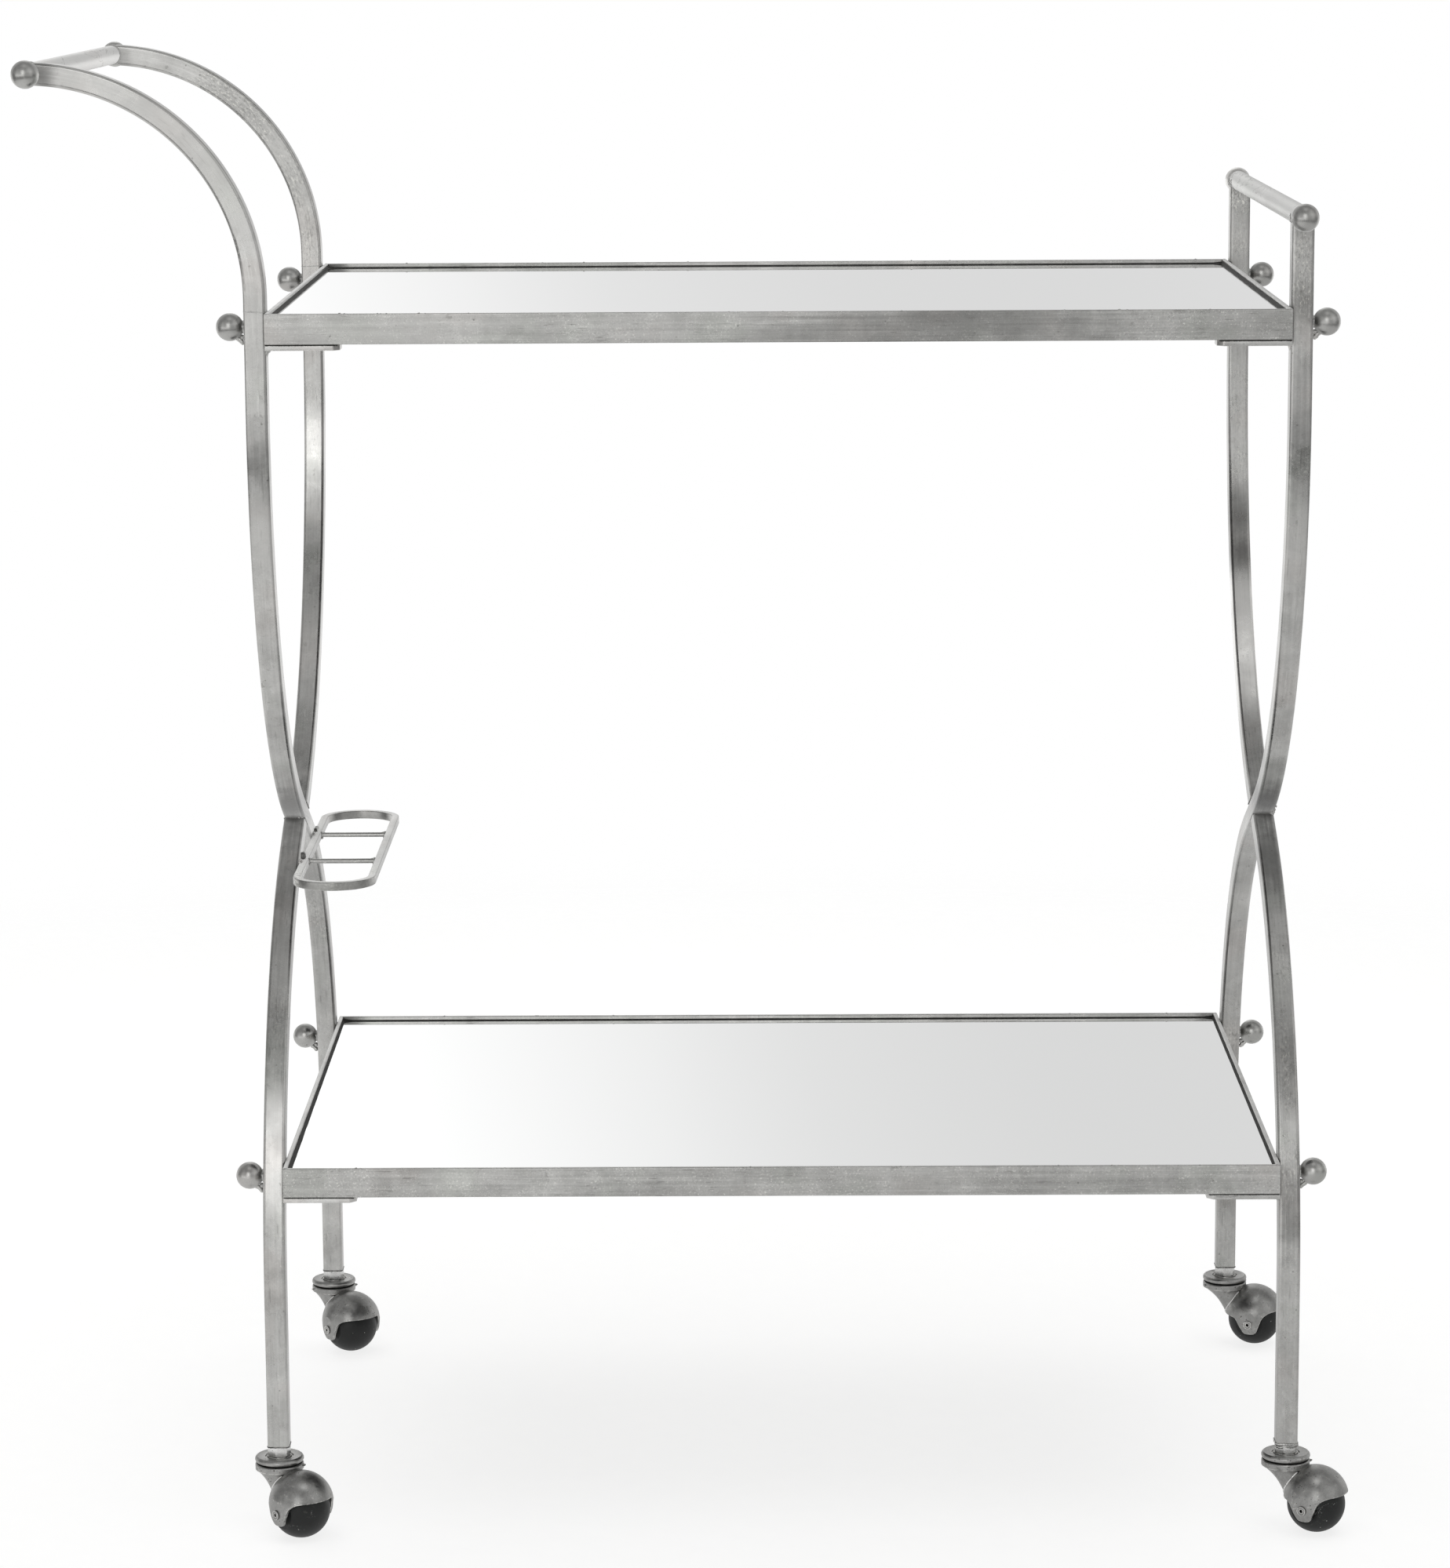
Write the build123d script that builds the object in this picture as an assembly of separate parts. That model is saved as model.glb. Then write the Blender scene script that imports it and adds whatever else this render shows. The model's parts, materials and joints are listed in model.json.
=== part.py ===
from build123d import *
import math
import os

# Bar cart on four swivel ball casters, in millimetres.
# +Z is up, the floor is Z = 0, the push handle is at -X and the front is -Y.
# Everything is first drawn about the middle of the shelves and then shifted,
# so that the origin is under the middle of the whole cart.

# ---------------------------------------------------------------- shelves
SHELF_L = 635.0          # outer length of a shelf, along X
SHELF_D = 438.0          # outer depth of a shelf, along Y
SHELF_H = 19.0           # height of the angle rails
ANGLE_T = 3.0            # thickness of the angle rails
RECESS = 3.0             # mirror face below the top of the rails
MIRROR_T = 4.0
TRAY_GAP = 0.5           # room round the mirror and the board
Z_LOWER = 242.0          # top of the lower shelf's rails
Z_UPPER = 785.5          # top of the upper shelf's rails

# ---------------------------------------------------------------- end frames
TUBE = 14.0              # square tube, outside
TUBE_R = 2.0             # its corner radius
WALL = 1.7
Y_TOP = 199.3            # leg axis beside the upper shelf
Y_FOOT = 208.0           # leg axis at the casters
Z_FOOT = 56.0            # leg end above the floor
BEND_UP = 310.0          # bend radius above the crossing
BEND_LOW = 280.0         # bend radius below the crossing
SLANT = 66.0             # slant of the bars at the crossing, from vertical
Z_CROSS = 432.0          # height of the crossing

# ---------------------------------------------------------------- handle and rail
ARM_BEND = 138.5         # bend radius of the handle arms
Z_HANDLE = 932.5         # axis of the handle tube
X_HANDLE = -461.0
Z_RAIL = 841.0           # axis of the rail at the other end
BAR_R = 6.5              # radius of both round tubes
BAR_WALL = 1.2
BALL_R = 8.7             # all ball ends
BAR_END = 209.0          # half length of both round tubes
FINIAL_Y = 215.0         # centre of the ball ends on them
ARM_JOINT = Z_UPPER      # the arms are welded on top of the left legs here

# ---------------------------------------------------------------- ball nuts and tabs
NUT_OUT = 23.0           # ball centre outside the shelf's end
NECK_R = 3.2
STUD_R = 2.5
TAB_L = 46.5
TAB_T = 3.9
TAB_IN = 1.5             # front edge of the tabs behind the rails' face
TAB_W = 22.0

# ---------------------------------------------------------------- bottle rack
RACK_W = 54.0            # along X, outside
RACK_L = 262.0           # along Y, outside
RACK_END = 28.0          # bow of the ends
RACK_CORNER = 26.0       # and how they run into the sides
RACK_BAR_W = 5.0
RACK_BAR_H = 5.5
RACK_ROD_R = 1.6
RACK_ROD_Y = 47.0
Z_RACK = 407.4           # mid-height of the hoop's bar

# ---------------------------------------------------------------- casters
WHEEL_R = 18.6
TRAIL = 22.5             # wheel centre behind the stem
HOOD_R = 20.9
HOOD_IN = 19.5
HOOD_RISE = 4.1          # straight part between the axle and the dome
HEAD_R = 15.6
Z_HEAD = 44.5            # top of the swivelling head
Z_CAP = 45.2             # underside of the fixed cap
CAP_R = 15.75
CAP_TOP = 49.2
STEM_R = 4.0
PIVOT_R = 3.4            # reduced part of the stem that the hood turns on
AXLE_R = 2.25
# where each caster trails at rest: degrees from +X towards the front
CASTERS = {
    "front_left": (-1, -1, 48.0),
    "front_right": (1, -1, 34.0),
    "rear_left": (-1, 1, 53.0),
    "rear_right": (1, 1, 20.0),
}

ORIGIN_X = 51.7          # shift that puts the origin under the cart's middle
ORIGIN_Y = 11.0

os.makedirs("parts", exist_ok=True)

XE = SHELF_L / 2                 # shelf end, which is also the legs' inner face
XL = XE + TUBE / 2               # leg axis
SA, CA = math.sin(math.radians(SLANT)), math.cos(math.radians(SLANT))

nodes = {}


def put(name, *solids):
    """Keep the solids of one piece, or of a group of equal pieces."""
    flat = []
    for s in solids:
        flat.extend(s.solids())
    nodes[name] = flat


def box(x0, x1, y0, y1, z0, z1):
    return Pos((x0 + x1) / 2, (y0 + y1) / 2, (z0 + z1) / 2) * Box(
        abs(x1 - x0), abs(y1 - y0), abs(z1 - z0)
    )


def rod(p, d, r, h):
    """Cylinder from point p along d."""
    return extrude(Plane(origin=p, z_dir=d) * Circle(r), h)


# ================================================================ end frames
def tube_face(plane):
    inner = TUBE - 2 * WALL
    return plane * (
        RectangleRounded(TUBE, TUBE, TUBE_R)
        - RectangleRounded(inner, inner, TUBE_R - WALL)
    )


# straight lengths of the slanted part, from the crossing to each bend
T_UP = (Y_TOP - BEND_UP * (1 - CA)) / SA
T_LOW = (Y_FOOT - BEND_LOW * (1 - CA)) / SA
Z_UP = Z_CROSS + T_UP * CA + BEND_UP * SA        # where the upper bend starts
Z_LOW = Z_CROSS - T_LOW * CA - BEND_LOW * SA     # where the lower bend ends


def lower_leg_y(z):
    """Distance of the leg axis from the middle, in the lower bend and below."""
    s = max(0.0, z - Z_LOW)
    return Y_FOOT - (BEND_LOW - math.sqrt(BEND_LOW**2 - s**2))


def long_bar(x, z_top, arm):
    """One S-curved bar: top at the front, foot at the rear."""
    up = Plane(origin=(x, -Y_TOP, Z_UP), x_dir=(1, 0, 0), z_dir=(0, 0, 1))
    low = Plane(origin=(x, Y_FOOT, Z_LOW), x_dir=(1, 0, 0), z_dir=(0, 0, 1))
    slant = Plane(
        origin=(x, -T_UP * SA, Z_CROSS + T_UP * CA),
        x_dir=(1, 0, 0),
        z_dir=(0, SA, -CA),
    )
    bar = extrude(tube_face(up), z_top - Z_UP)
    bar += revolve(
        tube_face(up), Axis((x, -Y_TOP + BEND_UP, Z_UP), (1, 0, 0)), SLANT
    )
    bar += extrude(tube_face(slant), T_UP + T_LOW)
    bar += revolve(
        tube_face(low), Axis((x, Y_FOOT - BEND_LOW, Z_LOW), (1, 0, 0)), SLANT
    )
    bar += extrude(tube_face(low), -(Z_LOW - Z_FOOT))
    if arm:
        top = Plane(origin=(x, -Y_TOP, z_top), x_dir=(1, 0, 0), z_dir=(0, 0, 1))
        bar += revolve(
            tube_face(top), Axis((x - ARM_BEND, -Y_TOP, z_top), (0, -1, 0)), 88.5
        )
    return bar


Z_ARM = Z_HANDLE - ARM_BEND
handle_hole = rod((X_HANDLE, -300, Z_HANDLE), (0, 1, 0), BAR_R, 600)
rail_hole = rod((XL, -300, Z_RAIL), (0, 1, 0), BAR_R, 600)

Z_NUT_U, Z_NUT_L = Z_UPPER - SHELF_H / 2, Z_LOWER - SHELF_H / 2
Y_NUT_U, Y_NUT_L = Y_TOP, lower_leg_y(Z_NUT_L)


def stud_holes(side):
    holes = None
    for y, z in ((Y_NUT_U, Z_NUT_U), (Y_NUT_L, Z_NUT_L)):
        for s in (-1, 1):
            h = rod((side * (XE - 2), s * y, z), (side, 0, 0), STUD_R + 0.1, TUBE + 4)
            holes = h if holes is None else holes + h
    return holes


for side, name in ((-1, "left"), (1, "right")):
    x = side * XL
    if side < 0:
        bar = long_bar(x, Z_ARM, True)
        bar -= handle_hole
        bar -= box(X_HANDLE - 60, X_HANDLE + 3.2, -400, 400, 800, 1000)
    else:
        bar = long_bar(x, Z_RAIL - 3.2, False)
        bar -= rail_hole
    other = mirror(bar, about=Plane.XZ)
    slab = Plane(origin=(x, 0, Z_CROSS), x_dir=(1, 0, 0), z_dir=(0, SA, -CA)) * Box(
        40, TUBE, 100
    )
    holes = stud_holes(side)
    bar -= holes
    other = other - slab - holes
    pieces = sorted(other.solids(), key=lambda s: s.center().Z)
    upper = pieces[-1]
    if side < 0:
        above = box(-700, 0, -400, 400, ARM_JOINT, 1200)
        put("front_handle_arm", bar & above)
        put("rear_handle_arm", upper & above)
        bar, upper = bar - above, upper - above
    put(f"{name}_through_leg", bar)
    put(f"{name}_lower_leg", pieces[0])
    put(f"{name}_upper_leg", upper)
    print(name, "leg pieces", len(bar.solids()), len(pieces))

# ================================================================ handle and end rail
def cross_bar(x, z):
    return rod((x, -BAR_END, z), (0, 1, 0), BAR_R, 2 * BAR_END) - rod(
        (x, -BAR_END, z), (0, 1, 0), BAR_R - BAR_WALL, 2 * BAR_END
    )


def finial(x, s, z):
    ball = Pos(x, s * FINIAL_Y, z) * Sphere(BALL_R)
    ball -= box(x - 20, x + 20, s * (BAR_END - 20), s * BAR_END, z - 20, z + 20)
    return ball + rod(
        (x, s * (BAR_END - 12), z), (0, s, 0), BAR_R - BAR_WALL, 13
    )


put("handle_bar", cross_bar(X_HANDLE, Z_HANDLE))
put("handle_finials", *[finial(X_HANDLE, s, Z_HANDLE) for s in (-1, 1)])
put("end_rail_bar", cross_bar(XL, Z_RAIL))
put("end_rail_finials", *[finial(XL, s, Z_RAIL) for s in (-1, 1)])


# ================================================================ shelves
def tray(level, z_top):
    z0 = z_top - SHELF_H
    hx, hy = SHELF_L / 2, SHELF_D / 2
    frame = box(-hx, hx, -hy, hy, z0, z_top)
    frame -= box(
        -hx + ANGLE_T, hx - ANGLE_T, -hy + ANGLE_T, hy - ANGLE_T, z0 + ANGLE_T, z_top + 1
    )
    frame -= box(
        -hx + SHELF_H, hx - SHELF_H, -hy + SHELF_H, hy - SHELF_H, z0 - 1, z_top
    )
    y_nut = Y_NUT_U if level == "upper" else Y_NUT_L
    for sx in (-1, 1):
        for sy in (-1, 1):
            frame -= rod(
                (sx * (hx - ANGLE_T - 1), sy * y_nut, z_top - SHELF_H / 2),
                (sx, 0, 0),
                STUD_R,
                ANGLE_T + 2,
            )
    c = 60.0
    corners = {
        "front": [(-hx, -hy), (hx, -hy), (hx - c, -hy + c), (-hx + c, -hy + c)],
        "rear": [(-hx, hy), (hx, hy), (hx - c, hy - c), (-hx + c, hy - c)],
        "left": [(-hx, -hy), (-hx + c, -hy + c), (-hx + c, hy - c), (-hx, hy)],
        "right": [(hx, -hy), (hx - c, -hy + c), (hx - c, hy - c), (hx, hy)],
    }
    for where, pts in corners.items():
        mitre = extrude(
            Plane.XY.offset(z0 - 2) * make_face(Polyline(*pts, close=True)), SHELF_H + 4
        )
        put(f"{level}_{where}_rail", frame & mitre)
    bx, by = hx - ANGLE_T - TRAY_GAP, hy - ANGLE_T - TRAY_GAP
    z_glass = z_top - RECESS - MIRROR_T
    put(f"{level}_board", box(-bx, bx, -by, by, z0 + ANGLE_T, z_glass))
    put(f"{level}_mirror", box(-bx, bx, -by, by, z_glass, z_glass + MIRROR_T))

    # support tabs welded to the legs, under the corners
    tabs, balls, studs = [], [], []
    for sx in (-1, 1):
        for sy in (-1, 1):
            y0 = min(sy * (hy - TAB_IN), sy * (hy - TAB_IN - TAB_W))
            y1 = y0 + TAB_W
            xa, xb = sx * XE, sx * (XE - TAB_L)
            outline = Polyline(
                (xa, y0), (xb + sx * 4, y0), (xb, y0 + 4), (xb, y1 - 4),
                (xb + sx * 4, y1), (xa, y1), close=True,
            )
            tabs.append(
                extrude(Plane.XY.offset(z0 - TAB_T) * make_face(outline), TAB_T)
            )
            # ball nut with its neck, and the stud that holds the shelf
            zc, yc = z_top - SHELF_H / 2, sy * y_nut
            out = XE + TUBE
            ball = Pos(sx * (XE + NUT_OUT), yc, zc) * Sphere(BALL_R)
            ball += rod((sx * out, yc, zc), (sx, 0, 0), NECK_R, NUT_OUT - TUBE)
            ball -= rod((sx * (out - 1), yc, zc), (sx, 0, 0), STUD_R, 8)
            balls.append(ball)
            studs.append(
                rod((sx * (XE - ANGLE_T), yc, zc), (sx, 0, 0), STUD_R, ANGLE_T + TUBE + 7)
            )
    put(f"{level}_support_tabs", *tabs)
    put(f"{level}_ball_nuts", *balls)
    put(f"{level}_studs", *studs)


tray("upper", Z_UPPER)
tray("lower", Z_LOWER)

# ================================================================ bottle rack
def hoop_face(w, l, end_r, corner_r):
    """Rounded outline with bowed ends, about its own middle."""
    a = w / 2
    sag = end_r - math.sqrt(end_r**2 - a**2)
    b = l / 2 - sag
    outline = Curve() + [
        Line((-a, -b), (-a, b)),
        ThreePointArc((-a, b), (0, l / 2), (a, b)),
        Line((a, b), (a, -b)),
        ThreePointArc((a, -b), (0, -l / 2), (-a, -b)),
    ]
    face = make_face(outline)
    return fillet(face.vertices(), corner_r)


rack_x = -XE + RACK_W / 2
hoop = hoop_face(RACK_W, RACK_L, RACK_END, RACK_CORNER) - hoop_face(
    RACK_W - 2 * RACK_BAR_W,
    RACK_L - 2 * RACK_BAR_W,
    RACK_END - RACK_BAR_W,
    RACK_CORNER - RACK_BAR_W,
)
put(
    "bottle_rack_hoop",
    extrude(Pos(rack_x, 0, Z_RACK - RACK_BAR_H / 2) * hoop, RACK_BAR_H),
)
rack_in = RACK_W - 2 * RACK_BAR_W
put(
    "bottle_rack_rods",
    *[
        rod(
            (rack_x - rack_in / 2, s * RACK_ROD_Y, Z_RACK + 0.8),
            (1, 0, 0),
            RACK_ROD_R,
            rack_in,
        )
        for s in (-1, 1)
    ],
)

# ================================================================ casters
Z_PLATE = 40.4           # underside of the hood's head plate
inserts, stems, nuts, caps, washers = [], [], [], [], []
cap_outline = Curve() + [
    Line((STEM_R, Z_CAP), (14.2, Z_CAP)),
    ThreePointArc((14.2, Z_CAP), (CAP_R, Z_CAP + 2.1), (14.2, Z_CAP + 4.1)),
    ThreePointArc((14.2, Z_CAP + 4.1), (11.6, Z_CAP + 3.6), (9.2, Z_CAP + 3.7)),
    Line((9.2, Z_CAP + 3.7), (8.8, Z_CAP + 3.0)),
    Line((8.8, Z_CAP + 3.0), (8.0, Z_CAP + 3.0)),
    Line((8.0, Z_CAP + 3.0), (7.8, CAP_TOP)),
    Line((7.8, CAP_TOP), (STEM_R, CAP_TOP)),
    Line((STEM_R, CAP_TOP), (STEM_R, Z_CAP)),
]
cap = revolve(make_face(Plane.XZ * cap_outline), Axis.Z, 360)
insert_w = TUBE - 2 * WALL
insert = extrude(
    Plane.XY.offset(Z_FOOT) * RectangleRounded(insert_w, insert_w, TUBE_R - WALL), 16
) - rod((0, 0, Z_FOOT), (0, 0, 1), STEM_R, 16)
stem = (
    rod((0, 0, Z_CAP), (0, 0, 1), STEM_R, 70 - Z_CAP)
    + rod((0, 0, Z_PLATE - 2.2), (0, 0, 1), PIVOT_R, Z_CAP - Z_PLATE + 2.2)
    + rod((0, 0, Z_PLATE - 2.2), (0, 0, 1), 5.2, 1.9)
)
nut_round = Pos(0, 0, (CAP_TOP + Z_FOOT) / 2) * Cylinder(7.5, Z_FOOT - CAP_TOP)
nut_round = chamfer(nut_round.edges().filter_by(GeomType.CIRCLE), 0.7)
lock_nut = (
    extrude(
        Plane.XY.offset(CAP_TOP) * RegularPolygon(7.5, 6, rotation=15), Z_FOOT - CAP_TOP
    )
    & nut_round
) - rod((0, 0, CAP_TOP), (0, 0, 1), STEM_R, 10)
washer = rod((0, 0, Z_HEAD + 0.1), (0, 0, 1), 8.0, Z_CAP - Z_HEAD - 0.1) - rod(
    (0, 0, Z_HEAD), (0, 0, 1), 4.2, 2
)

# hood, in its own frame: stem at X = 0, trailing along +X, axle along Y
centre = (TRAIL, 0, WHEEL_R)
k = math.sqrt(0.5)


def dome(r):
    """Ball drawn out upwards, on the wheel's centre."""
    side = Plane(origin=centre, x_dir=(1, 0, 0), z_dir=(0, -1, 0))
    outline = Curve() + [
        ThreePointArc((0, -r), (r * k, -r * k), (r, 0)),
        Line((r, 0), (r, HOOD_RISE)),
        ThreePointArc((r, HOOD_RISE), (r * k, HOOD_RISE + r * k), (0, HOOD_RISE + r)),
        Line((0, HOOD_RISE + r), (0, -r)),
    ]
    return revolve(make_face(side * outline), Axis(centre, (0, 0, 1)), 360)


def throat(sections):
    """Curved horn through circles given as height, trail and radius."""
    return loft([Plane(origin=(x, 0, z)) * Circle(r) for z, x, r in sections])


head = rod((0, 0, 40.6), (0, 0, 1), HEAD_R, Z_HEAD - 40.6)
head = fillet(head.edges().group_by(Axis.Z)[-1], 0.9)
horn = throat(
    [(41.2, 0, 15.4), (38.4, 1.6, 13.5), (35.2, 4.2, 12.1), (31.0, 7.2, 11.2),
     (26.0, 10.0, 10.7), (20.5, 12.5, 10.3)]
)
horn_in = throat(
    [(Z_PLATE, 0.2, 13.2), (37.4, 2.3, 11.3), (34.0, 5.1, 10.1), (29.5, 8.2, 9.4),
     (24.5, 10.8, 9.0), (19.0, 13.2, 8.6)]
)
hood = dome(HOOD_R) + horn + head
hood -= dome(HOOD_IN)
hood -= horn_in
below = make_face(
    Polyline(
        (-40, 4.2), (-10.2, 4.2), (-2.6, -7.2), (5.6, -7.2), (11.2, 8.4),
        (40, 10.4), (40, -40), (-40, -40), close=True,
    )
)
below = fillet([v for v in below.vertices() if 10.5 < v.X < 20], 9.0)
below = fillet([v for v in below.vertices() if v.X < 7.5 and abs(v.X) < 20 and v.Y > -20], 4.0)
hood -= extrude(Plane(origin=(TRAIL, 30, WHEEL_R), x_dir=(1, 0, 0), z_dir=(0, -1, 0)) * below, 60)
for s in (-1, 1):
    hood -= box(TRAIL - 30, TRAIL + 30, s * 20.2, s * 40, WHEEL_R - 30, WHEEL_R + 12)
hood -= rod((TRAIL, -30, WHEEL_R), (0, 1, 0), AXLE_R, 60)
hood -= rod((0, 0, 30), (0, 0, 1), PIVOT_R + 0.05, 20)

axle = rod((TRAIL, -20.2, WHEEL_R), (0, 1, 0), AXLE_R, 40.4)
for s in (-1, 1):
    rivet = rod((TRAIL, s * 20.2, WHEEL_R), (0, s, 0), 3.0, 0.8)
    rivet = fillet(rivet.edges().group_by(Axis.Y)[0 if s < 0 else -1], 0.4)
    axle += rivet
    axle -= rod((TRAIL, s * 17.0, WHEEL_R), (0, s, 0), 1.3, 6)
bush = rod((TRAIL, -18.9, WHEEL_R), (0, 1, 0), 3.4, 37.8) - rod(
    (TRAIL, -19, WHEEL_R), (0, 1, 0), AXLE_R + 0.05, 38
)
wheel = Pos(*centre) * Sphere(WHEEL_R)
for s in (-1, 1):
    wheel -= box(TRAIL - 30, TRAIL + 30, s * 15.6, s * 30, WHEEL_R - 30, WHEEL_R + 30)
wheel -= rod((TRAIL, -30, WHEEL_R), (0, 1, 0), 3.4, 60)

for name, (sx, sy, angle) in CASTERS.items():
    place = Pos(sx * XL, sy * Y_FOOT, 0)
    turn = place * Rot(0, 0, -angle)
    inserts.append(place * insert)
    stems.append(place * stem)
    nuts.append(place * lock_nut)
    caps.append(place * cap)
    washers.append(place * washer)
    put(f"{name}_caster_hood", turn * hood)
    put(f"{name}_caster_axle", turn * axle)
    put(f"{name}_wheel_bush", turn * bush)
    put(f"{name}_ball_wheel", turn * wheel)
    dx, dy = math.cos(math.radians(angle)), -math.sin(math.radians(angle))
    print(
        name,
        "stem", round(sx * XL + ORIGIN_X, 4), round(sy * Y_FOOT + ORIGIN_Y, 4),
        "wheel", round(sx * XL + TRAIL * dx + ORIGIN_X, 4),
        round(sy * Y_FOOT + TRAIL * dy + ORIGIN_Y, 4), WHEEL_R,
        "roll axis", round(-dy, 6), round(dx, 6),
    )
put("leg_inserts", *inserts)
put("caster_stems", *stems)
put("caster_lock_nuts", *nuts)
put("caster_caps", *caps)
put("caster_thrust_washers", *washers)

# ================================================================ write the pieces
shift = Pos(ORIGIN_X, ORIGIN_Y, 0)
lo, hi = [1e9] * 3, [-1e9] * 3
for name, solids in nodes.items():
    moved = [shift * s for s in solids]
    shape = moved[0] if len(moved) == 1 else Compound(children=moved)
    b = shape.bounding_box()
    for i, (p, q) in enumerate(zip(tuple(b.min), tuple(b.max))):
        lo[i], hi[i] = min(lo[i], p), max(hi[i], q)
    export_step(shape, f"parts/{name}.step")
print("nodes", len(nodes), "box", [round(v, 2) for v in lo], [round(v, 2) for v in hi])
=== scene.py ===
import json
import math
import random

import bmesh
import bpy
import numpy as np
from mathutils import Matrix, Vector, noise

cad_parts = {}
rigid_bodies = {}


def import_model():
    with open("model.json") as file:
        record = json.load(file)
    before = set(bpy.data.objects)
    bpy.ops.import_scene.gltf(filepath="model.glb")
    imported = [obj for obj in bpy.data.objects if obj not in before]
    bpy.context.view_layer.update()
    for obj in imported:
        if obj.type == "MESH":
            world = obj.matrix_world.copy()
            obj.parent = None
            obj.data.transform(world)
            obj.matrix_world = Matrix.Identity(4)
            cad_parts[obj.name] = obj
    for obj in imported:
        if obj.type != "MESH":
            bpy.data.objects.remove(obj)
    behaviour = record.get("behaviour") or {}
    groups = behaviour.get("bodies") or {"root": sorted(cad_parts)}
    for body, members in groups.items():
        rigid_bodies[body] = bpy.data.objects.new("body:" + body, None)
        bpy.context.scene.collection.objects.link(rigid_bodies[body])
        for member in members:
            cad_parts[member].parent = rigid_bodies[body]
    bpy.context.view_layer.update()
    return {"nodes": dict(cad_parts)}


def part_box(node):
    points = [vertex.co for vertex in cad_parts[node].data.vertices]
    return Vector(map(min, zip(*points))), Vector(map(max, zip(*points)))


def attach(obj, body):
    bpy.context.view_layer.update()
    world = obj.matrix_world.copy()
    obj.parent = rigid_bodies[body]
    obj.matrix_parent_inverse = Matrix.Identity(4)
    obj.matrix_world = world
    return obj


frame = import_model()
nodes = frame["nodes"]
scene = bpy.context.scene

MM = 0.001
OX, OY = 51.7, 11.0          # the shelves' middle in the row frame, mm
LEG_X = (-272.8, 376.2)      # the two end frames' middle planes
TUBE = 14.0                  # square tube of the legs


# ------------------------------------------------------------------ node helpers
class Tree:
    """Small helper that builds a node tree."""

    def __init__(self, tree):
        self.tree = tree
        tree.nodes.clear()

    def add(self, kind, ins=None, **props):
        n = self.tree.nodes.new(kind)
        for k, v in props.items():
            setattr(n, k, v)
        for k, v in (ins or {}).items():
            self.put(n.inputs[k], v)
        return n

    def put(self, socket, v):
        if isinstance(v, bpy.types.NodeSocket):
            self.tree.links.new(v, socket)
        elif isinstance(v, bpy.types.Node):
            self.tree.links.new(v.outputs[0], socket)
        else:
            socket.default_value = v

    def math(self, op, a, b=None, c=None, clamp=False):
        n = self.add("ShaderNodeMath", operation=op, use_clamp=clamp)
        self.put(n.inputs[0], a)
        if b is not None:
            self.put(n.inputs[1], b)
        if c is not None:
            self.put(n.inputs[2], c)
        return n.outputs[0]

    def noise(self, vec, scale, detail=3.0, rough=0.55, dist=0.0):
        n = self.add(
            "ShaderNodeTexNoise",
            {"Vector": vec, "Scale": scale, "Detail": detail, "Roughness": rough,
             "Distortion": dist},
        )
        return n.outputs["Fac"]

    def mapped(self, vec, scale, loc=(0, 0, 0), rot=(0, 0, 0)):
        n = self.add("ShaderNodeMapping", {"Vector": vec, "Location": loc,
                                           "Rotation": rot, "Scale": scale})
        return n.outputs[0]

    def ramp(self, fac, stops, interp="LINEAR"):
        n = self.add("ShaderNodeValToRGB", {"Fac": fac})
        n.color_ramp.interpolation = interp
        el = n.color_ramp.elements
        while len(el) < len(stops):
            el.new(0.5)
        for e, (p, c) in zip(el, stops):
            e.position = p
            e.color = (c, c, c, 1) if isinstance(c, (int, float)) else (*c, 1)
        return n.outputs["Color"]

    def step(self, fac, lo, hi):
        n = self.add("ShaderNodeMapRange", {"Value": fac, "From Min": lo, "From Max": hi})
        n.interpolation_type = "SMOOTHSTEP"
        return n.outputs["Result"]

    def band(self, fac, a, b, c, d):
        """0 below a, 1 from b to c, 0 above d."""
        return self.math("MULTIPLY", self.step(fac, a, b), self.step(fac, d, c))

    def mix(self, fac, a, b, mode="MIX"):
        n = self.add("ShaderNodeMix", data_type="RGBA", blend_type=mode)
        self.put(n.inputs["Factor"], fac)
        for sock, v in ((n.inputs[6], a), (n.inputs[7], b)):
            self.put(sock, (*v, 1) if isinstance(v, tuple) and len(v) == 3 else v)
        return n.outputs[2]

    def near(self, vec, centre, radii, wobble=None):
        """Soft mask round a place on the object, in mm, with an uneven edge."""
        s = tuple(1000.0 / r for r in radii)
        at = self.mapped(vec, s, loc=tuple(-c / r for c, r in zip(centre, radii)))
        n = self.add("ShaderNodeVectorMath", {0: at}, operation="LENGTH")
        d = n.outputs["Value"]
        if wobble is not None:
            d = self.math("MULTIPLY_ADD", self.math("SUBTRACT", wobble, 0.5), 1.5, d)
        return self.step(d, 1.2, 0.2)


def material(name):
    m = bpy.data.materials.new(name)
    m.use_nodes = True
    t = Tree(m.node_tree)
    out = t.add("ShaderNodeOutputMaterial")
    bsdf = t.add("ShaderNodeBsdfPrincipled")
    t.tree.links.new(bsdf.outputs[0], out.inputs["Surface"])
    return m, t, bsdf


# ------------------------------------------------------------------ materials
STRETCH = {"x": (9, 430, 430), "y": (430, 9, 430), "strand": (430, 430, 9), "round": (130, 130, 130)}
SCRATCH = {"x": (62, 760, 760), "y": (760, 62, 760), "strand": (760, 760, 62), "round": (420, 420, 420)}

RAGGED = {"x": (330, 720, 720), "y": (720, 330, 720), "strand": (720, 720, 330), "round": (600, 600, 600)}


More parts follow.
